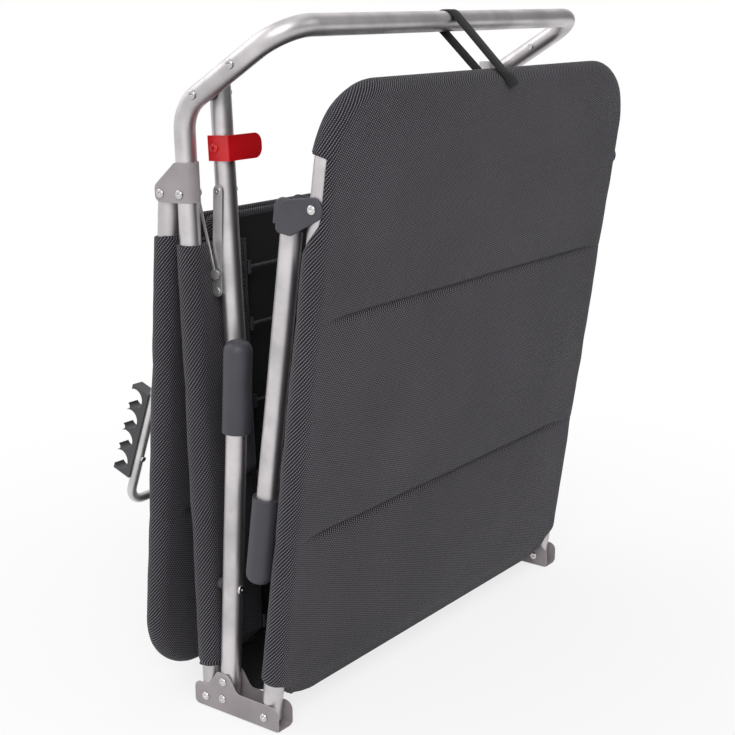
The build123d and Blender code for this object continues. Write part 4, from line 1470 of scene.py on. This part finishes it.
@dataclass
class ClosingStrap:
    """Elastic webbing over the top bar, with both ends on the foot section's rim, in metres.

    Attributes:
        foot: The foot section's place.
        bar: The top bar's y and z.
        rim_along: Place of the rim's tube along the foot section, in millimetres.
        rim_radius: Radius of the webbing's inside round the rim.
        bar_radius: Radius of its inside round the top bar.
        width: Width of the webbing.
        thickness: Its thickness.
        across: Place of its middle on the top bar.
        front_lean: How far it leans to the right down its front run.
        rear_lean: How far it leans to the right down its rear run.
        tail_down: How far the tail hangs down the foot section's face.
        tail_right: How far the tail runs to the right.
        tail_bend: Share of that way that lies in the bend round the rim.
        tail_rise: How steeply the tail's width rises.
        tail_lift: How far the tail's end stands off the cloth.
    """

    foot: SectionPlace
    bar: Pair
    rim_along: float = 746.0
    rim_radius: float = 0.0176
    bar_radius: float = 0.0129
    width: float = 0.022
    thickness: float = 0.0013
    across: float = -0.006
    front_lean: float = 0.004
    rear_lean: float = 0.030
    tail_down: float = 0.003
    tail_right: float = 0.020
    tail_bend: float = 0.8
    tail_rise: float = 0.28
    tail_lift: float = 0.0008

    def rim(self) -> Vector:
        """Middle of the foot section's rim tube."""
        return self.foot.point(0.0, self.rim_along, 0.0)

    def path(self) -> list[tuple[Vector, Vector, Vector]]:
        """Middle line of the webbing, with its outward and its sideways direction, from front to rear."""
        rim = self.rim()
        bar = Vector((0.0, *self.bar))
        span = rim - bar
        reach = span.length
        down = span / reach
        lift = (self.bar_radius - self.rim_radius) / reach
        side = Vector((0.0, down.z, -down.y))
        if side.y > 0.0:
            side = -side
        flat = math.sqrt(1.0 - lift * lift)
        front = down * lift + side * flat
        back = down * lift - side * flat
        face = self.foot.out()
        down_face = self.foot.along() * -self.tail_down
        turned = (RIGHT + self.foot.along() * self.tail_rise).normalized()
        path = []
        for share in (1.0, 0.5):
            way = self.tail_bend + (1.0 - self.tail_bend) * share
            drift = RIGHT * (self.front_lean + self.tail_right * way)
            off = face * (self.rim_radius + self.tail_lift * share)
            path.append((rim + off + down_face * share + drift, face, turned))
        for step in range(RIM_STEPS):
            left = 1.0 - step / RIM_STEPS
            out = front.lerp(face, left).normalized()
            drift = RIGHT * (self.front_lean + self.tail_right * self.tail_bend * left)
            sideways = RIGHT.lerp(turned, left).normalized()
            path.append((rim + out * self.rim_radius + drift, out, sideways))
        for share in RUN_SHARES:
            middle = (rim + front * self.rim_radius).lerp(bar + front * self.bar_radius, share)
            path.append((middle + RIGHT * (self.front_lean * (1.0 - share)), front, RIGHT))
        first = math.atan2(front.dot(side), -front.dot(down))
        last = math.atan2(back.dot(side), -back.dot(down))
        for step in range(BAR_STEPS + 1):
            turn = first + (last - first) * step / BAR_STEPS
            out = -down * math.cos(turn) + side * math.sin(turn)
            path.append((bar + out * self.bar_radius, out, RIGHT))
        for share in (*RUN_SHARES[1:], 1.0):
            middle = (bar + back * self.bar_radius).lerp(rim + back * self.rim_radius, share)
            path.append((middle + RIGHT * (self.rear_lean * share), back, RIGHT))
        return path

    def build(self, palette: Palette) -> bpy.types.Object:
        """Make the webbing and set it on the foot section.

        Args:
            palette: The finishes.

        Returns:
            The strap.
        """
        draft = MeshDraft()
        half = self.width / 2
        edge = half - self.thickness / 2
        upper = ((-edge, 1.0), (0.0, 1.0), (edge, 1.0), (half, 0.5))
        lower = tuple((-across, 1.0 - level) for across, level in upper)
        rows = []
        run = 0.0
        before = None
        for middle, out, sideways in self.path():
            if before is not None:
                run += (middle - before).length
            before = middle
            centre = middle + RIGHT * self.across
            row = []
            for across, level in upper + lower:
                place = centre + sideways * across + out * (level * self.thickness)
                row.append(draft.point(place, (across, run)))
            rows.append(row)
        draft.solid(rows)
        piece = draft.finish("closing_strap_webbing", [palette["strap_webbing"]])
        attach(piece, "foot_section")
        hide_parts("closing_strap")
        tuple(self.rim())
        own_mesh(piece)
        return piece


# The sag follows share * share * (1 - share), which is 1 / 6.75 at its most.
SAG_PEAK = 6.75
RIPPLE_NOISE = 4.0


@dataclass
class FoldPanel:
    """Cloth that joins the foot section's cover to the seat's cover round the fold, in millimetres.

    It is made in two halves, which meet in the middle of the fold.

    Attributes:
        foot: The foot section's cover.
        seat: The seat's cover.
        half_width: Half of the panel's width.
        tuck: How far it goes into a cover, along.
        off_sheet: Its distance out of the section's sheet there.
        sag: How far it hangs at its lowest place.
        thickness: Thickness of the cloth.
        ripple: Height of its ripples.
        ripple_rate: Number of ripples to a metre, across and from front to rear.
        rows: Rows of faces in each half.
        columns: Faces across.
    """

    foot: PaddedCover
    seat: PaddedCover
    half_width: float = 293.0
    tuck: float = 4.0
    off_sheet: float = 6.0
    sag: float = 26.0
    thickness: float = 1.4
    ripple: float = 1.2
    ripple_rate: Pair = (16.0, 22.0)
    rows: int = 14
    columns: int = 48

    def middle(self, share: float) -> Vector:
        """Point of the middle line, from the foot section at 0 to the seat at 1, lowest by the seat."""
        first = self.foot.place.point(0.0, self.foot.start + self.tuck, self.off_sheet)
        last = self.seat.place.point(0.0, self.seat.start + self.tuck, -self.off_sheet)
        place = first.lerp(last, share)
        place.z -= self.sag * MILLIMETRE * SAG_PEAK * share * share * (1.0 - share)
        return place

    def build(self, palette: Palette) -> list[bpy.types.Object]:
        """Make both halves."""
        front = self.half("fold_panel_front", 0.0, 0.5, palette)
        rear = self.half("fold_panel_rear", 0.5, 1.0, palette)
        tuple(self.middle(0.0))
        tuple(self.middle(0.5))
        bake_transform(front)
        tuple(self.middle(0.5))
        tuple(self.middle(1.0))
        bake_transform(rear)
        return [front, rear]

    def half(self, name: str, low: float, high: float, palette: Palette) -> bpy.types.Object:
        """Make one half of the panel.

        Args:
            name: The half's name.
            low: Where it starts, as a share of the panel.
            high: Where it ends.
            palette: The finishes.

        Returns:
            The half.
        """
        draft = MeshDraft()
        rate = self.ripple_rate
        below: list[list[int]] = []
        above: list[list[int]] = []
        run = 0.0
        before = self.middle(low)
        for row in range(self.rows + 1):
            middle = self.middle(low + (high - low) * row / self.rows)
            run += (middle - before).length
            before = middle
            below.append([])
            above.append([])
            for column in range(self.columns + 1):
                across = self.half_width * MILLIMETRE * (2.0 * column / self.columns - 1.0)
                wave = noise.noise(Vector((across * rate[0], middle.y * rate[1], RIPPLE_NOISE)))
                place = middle + Vector((across, 0.0, self.ripple * MILLIMETRE * wave))
                top = place + Vector((0.0, 0.0, self.thickness * MILLIMETRE))
                below[-1].append(draft.point(place, (across, run)))
                above[-1].append(draft.point(top, (across, run)))
        for row in range(self.rows):
            draft.strip(below[row], below[row + 1], 0, closed=False)
            draft.strip(above[row], above[row + 1], 1, closed=False)
        for edge in (0, self.rows):
            draft.strip(below[edge], above[edge], 0, closed=False)
        for edge in (0, self.columns):
            draft.strip([line[edge] for line in below], [line[edge] for line in above], 0, closed=False)
        piece = draft.finish(name, [palette["cover_fabric"], palette["lining"]])
        return piece


@dataclass
class HingeCheeks:
    """Rounded side plates of the foot legs' hinge caps, in millimetres.

    Attributes:
        foot: The foot section's place.
        frame_half: Distance of the side tube from the middle of the width.
        rounds: Middle along and out, and radius, of the rounds that a cheek is drawn tight around.
        profile: Distance from the cap's middle and inset of each ring of a cheek.
        steps: Points of a ring.
    """

    foot: SectionPlace
    frame_half: float = 320.0
    rounds: tuple[Triple, ...] = (
        (626.0, 0.0, 13.0),
        (615.0, -33.0, 15.0),
        (597.0, -42.0, 6.0),
        (597.0, -28.0, 6.0),
    )
    profile: tuple[Pair, ...] = ((13.1, 0.0), (15.3, 0.0), (16.0, 0.5), (16.3, 1.2), (16.4, 2.4))
    steps: int = 96

    def ring(self, inset: float) -> list[Pair]:
        """Outline of a cheek, as places along and out, drawn in by an inset."""
        outline = []
        for step in range(self.steps):
            turn = math.tau * step / self.steps
            along, out = math.cos(turn), math.sin(turn)
            far = max(self.rounds, key=lambda spot: spot[0] * along + spot[1] * out + spot[2])
            outline.append((far[0] + (far[2] - inset) * along, far[1] + (far[2] - inset) * out))
        return outline

    def build(self, side: float, name: str, body: str, palette: Palette) -> bpy.types.Object:
        """Make the two cheeks of one hinge cap.

        Args:
            side: -1 for the left cap, 1 for the right one.
            name: The piece's name.
            body: The leg that it rides on.
            palette: The finishes.

        Returns:
            The cheeks, as one piece.
        """
        draft = MeshDraft()
        for facing in (-1.0, 1.0):
            rings = []
            for depth, inset in self.profile:
                across = side * self.frame_half + facing * depth
                rings.append([draft.point(self.foot.point(across, *spot)) for spot in self.ring(inset)])
            draft.solid(rings)
        piece = draft.finish(name, [palette["dark_plastic"]])
        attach(piece, body)
        return piece


@dataclass
class Studio:
    """Pale floor, white surround, soft lamps and the camera, in metres and degrees.

    Attributes:
        floor_size: Side of the square floor.
        floor_shade: Its grey.
        near_white: Share of plain white in what is seen of it under the object.
        fade: Distances from the middle where it starts and ends to be all white.
        azimuth, elevation: The camera's side and height.
        position: The camera's place.
        lens, sensor: Its focal length and its sensor's width, in millimetres.
        ambient: Strength of the surround as a light.
        dark_side: Direction where the surround is dark in reflections.
        dark_edge: How far from that direction the dark starts and is full, as cosines.
        dark_share: How much of the light is gone there.
        aim: Place that the lamps look at.
        lamps: Name, place, size and power of each lamp.
    """

    floor_size: float = 14.0
    floor_shade: float = 0.86
    near_white: float = 0.78
    fade: Pair = (0.25, 1.3)
    azimuth: float = -53.37
    elevation: float = 14.64
    position: Triple = (-1.51376, -1.10849, 0.85916)
    lens: float = 70.26
    sensor: float = 36.0
    ambient: float = 0.62
    dark_side: Triple = (0.5, -0.86, 0.0)
    dark_edge: Pair = (0.1, 0.75)
    dark_share: float = 0.8
    aim: Triple = (0.0, 0.0, 0.4)
    lamps: tuple[tuple[str, Triple, float, float], ...] = (
        ("key", (-2.9, -1.9, 2.9), 2.4, 82.0),
        ("fill", (1.4, -3.2, 2.6), 2.6, 20.0),
        ("rim", (-1.0, 2.8, 2.6), 2.2, 30.0),
    )

    def build(self) -> None:
        """Make the floor, the world, the lamps and the camera."""
        scene = bpy.context.scene
        scene.view_settings.view_transform = "Standard"
        self.floor()
        self.surround()
        for lamp in self.lamps:
            self.lamp(*lamp)
        self.camera()

    @staticmethod
    def seen(board: Board, path: bpy.types.Node) -> bpy.types.NodeSocket:
        """1 for what is seen straight, in a reflection or through something clear, or else 0."""
        seen = board.maths("MAXIMUM", path.outputs["Is Camera Ray"], path.outputs["Is Glossy Ray"])
        return board.maths("MAXIMUM", seen, path.outputs["Is Transmission Ray"])

    def floor(self) -> None:
        """Pale floor that fades to white away from the object."""
        half = self.floor_size / 2
        draft = MeshDraft()
        corners = ((-half, -half), (half, -half), (half, half), (-half, half))
        draft.face(tuple(draft.point(Vector((x, y, 0.0))) for x, y in corners))
        material = bpy.data.materials.new("pale_floor")
        material.use_nodes = True
        board = Board(material.node_tree)
        matt = board.first("BSDF_PRINCIPLED")
        matt.inputs["Base Color"].default_value = (*[self.floor_shade] * 3, 1.0)
        matt.inputs["Roughness"].default_value = 0.9
        matt.inputs["Specular IOR Level"].default_value = 0.1
        end = board.first("OUTPUT_MATERIAL")
        white = board.add("ShaderNodeEmission", {"Color": WHITE, "Strength": 1.0})
        place = board.add("ShaderNodeTexCoord")
        away = board.add("ShaderNodeVectorMath", {0: place.outputs["Object"]}, operation="LENGTH")
        seen = self.seen(board, board.add("ShaderNodeLightPath"))
        fade = board.spread(away.outputs["Value"], *self.fade)
        whitened = board.maths("MULTIPLY", fade, 1.0 - self.near_white)
        share = board.maths("MULTIPLY", board.maths("ADD", whitened, self.near_white), seen)
        mix = board.add("ShaderNodeMixShader", {0: share, 1: matt.outputs[0], 2: white.outputs[0]})
        board.feed(end.inputs["Surface"], mix.outputs[0])
        draft.finish("studio_floor", [material])

    def surround(self) -> None:
        """White for what the camera and the reflections see, softer for the light on the object."""
        world = bpy.data.worlds.new("white_surround")
        world.use_nodes = True
        bpy.context.scene.world = world
        board = Board(world.node_tree)
        sky = board.first("BACKGROUND")
        path = board.add("ShaderNodeLightPath")
        seen = board.maths("MULTIPLY", self.seen(board, path), 1.0 - self.ambient)
        level = board.maths("ADD", seen, self.ambient)
        shell = board.add("ShaderNodeNewGeometry")
        inward = tuple(-part for part in self.dark_side)
        side = board.add(
            "ShaderNodeVectorMath", {0: shell.outputs["Normal"], 1: inward}, operation="DOT_PRODUCT"
        )
        dark = board.spread(side.outputs["Value"], *self.dark_edge)
        dark = board.maths("MULTIPLY", dark, path.outputs["Is Glossy Ray"])
        left = board.maths("SUBTRACT", 1.0, board.maths("MULTIPLY", dark, self.dark_share))
        level = board.maths("MULTIPLY", level, left)
        sky.inputs["Color"].default_value = WHITE
        board.feed(sky.inputs["Strength"], level)

    def lamp(self, name: str, place: Triple, size: float, power: float) -> None:
        """Add a soft square lamp that looks at the object."""
        data = bpy.data.lights.new(name, "AREA")
        data.size = size
        data.energy = power
        light = bpy.data.objects.new(name, data)
        light.location = place
        towards = Vector(self.aim) - Vector(place)
        light.rotation_euler = towards.to_track_quat("-Z", "Y").to_euler()
        bpy.context.scene.collection.objects.link(light)

    def camera(self) -> None:
        """Put the camera where the photograph was taken from."""
        turn = math.radians(self.azimuth)
        tilt = math.radians(self.elevation)
        back = Vector((math.sin(turn) * math.cos(tilt), -math.cos(turn) * math.cos(tilt), math.sin(tilt)))
        data = bpy.data.cameras.new("camera")
        data.lens = self.lens
        data.sensor_width = self.sensor
        camera = bpy.data.objects.new("camera", data)
        camera.location = self.position
        camera.rotation_euler = (-back).to_track_quat("-Z", "Y").to_euler()
        bpy.context.scene.collection.objects.link(camera)
        bpy.context.scene.camera = camera


class FrameDresser:
    """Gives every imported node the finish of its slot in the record."""

    def __init__(self, frame: dict, palette: Palette) -> None:
        """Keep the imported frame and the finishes."""
        self.frame = frame
        self.palette = palette

    def dress(self) -> int:
        """Assign the finishes and give the number of nodes dressed."""
        nodes = self.frame["nodes"]
        subparts = self.frame["record"]["subparts"]
        for subpart in subparts:
            piece = nodes[subpart["node"]]
            material = self.palette[subpart["material_slot"]]
            piece.data.materials.clear()
            piece.data.materials.append(material)
        return len(subparts)


def covers() -> dict[str, PaddedCover]:
    """The three padded covers at their sections."""
    return {
        "foot": FootCover(
            name="foot_cover",
            body="foot_section",
            node="foot_pad",
            place=SectionPlace((-0.076294, 0.016), 7.6, Lean.RISING),
            face=1.0,
            start=14.0,
            end=762.0,
            seams=(230.0, 498.0),
            sleeve=(29.0, 900.0),
            hem=(52.0, 546.0),
            rim_radius=90.0,
            seed=1.0,
        ),
        "seat": SeatCover(
            name="seat_cover",
            body="seat",
            node="seat_pad",
            place=SectionPlace((0.017706, 0.016), -1.62, Lean.RISING),
            face=-1.0,
            start=36.0,
            end=590.0,
            seams=(200.0, 390.0),
            sleeve=(37.0, 564.0),
            hem=(38.0, 563.0),
            end_reach=20.0,
            fan=4.0,
            seed=2.0,
        ),
        "backrest": BackrestCover(
            name="backrest_cover",
            body="backrest",
            node="backrest_pad",
            place=SectionPlace((0.065250, 0.635904), 4.5, Lean.HANGING),
            face=-1.0,
            start=28.0,
            end=628.0,
            seams=(210.0, 405.0),
            sleeve=(50.0, 900.0),
            hem=(219.0, 545.0),
            rim_radius=81.0,
            end_reach=10.0,
            fan=3.0,
            seed=3.0,
        ),
    }


def main() -> None:
    """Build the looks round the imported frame, piece by piece."""
    logging.basicConfig(level=logging.INFO)
    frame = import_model()
    palette = Palette()
    trees = RepeatTrees()
    LOG.info("dressed %d nodes", FrameDresser(frame, palette).dress())
    Studio().build()
    parts = covers()
    for name, cover in parts.items():
        report(cover.build(palette))
        for made in Lacing(cover, name + "_lacing", LACE_PLACES[name]).build(trees, palette):
            report(made)
        rows = trees.grow(
            name + "_stitches", cover.stitch_lines(), trees.stitches, STITCH_SIZES, palette["thread"]
        )
        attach(rows, cover.body)
        report(rows)
    for half in FoldPanel(parts["foot"], parts["seat"]).build(palette):
        report(half)
    cheeks = HingeCheeks(parts["foot"].place)
    for side, hand in ((-1.0, "left"), (1.0, "right")):
        report(cheeks.build(side, hand + "_hinge_cheeks", hand + "_foot_leg_assembly", palette))
    low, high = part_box("seat_frame")
    bar = (low[1] + TUBE_RADIUS, high[2] - TUBE_RADIUS)
    report(ClosingStrap(parts["foot"].place, bar).build(palette))


if __name__ == "__main__":
    main()
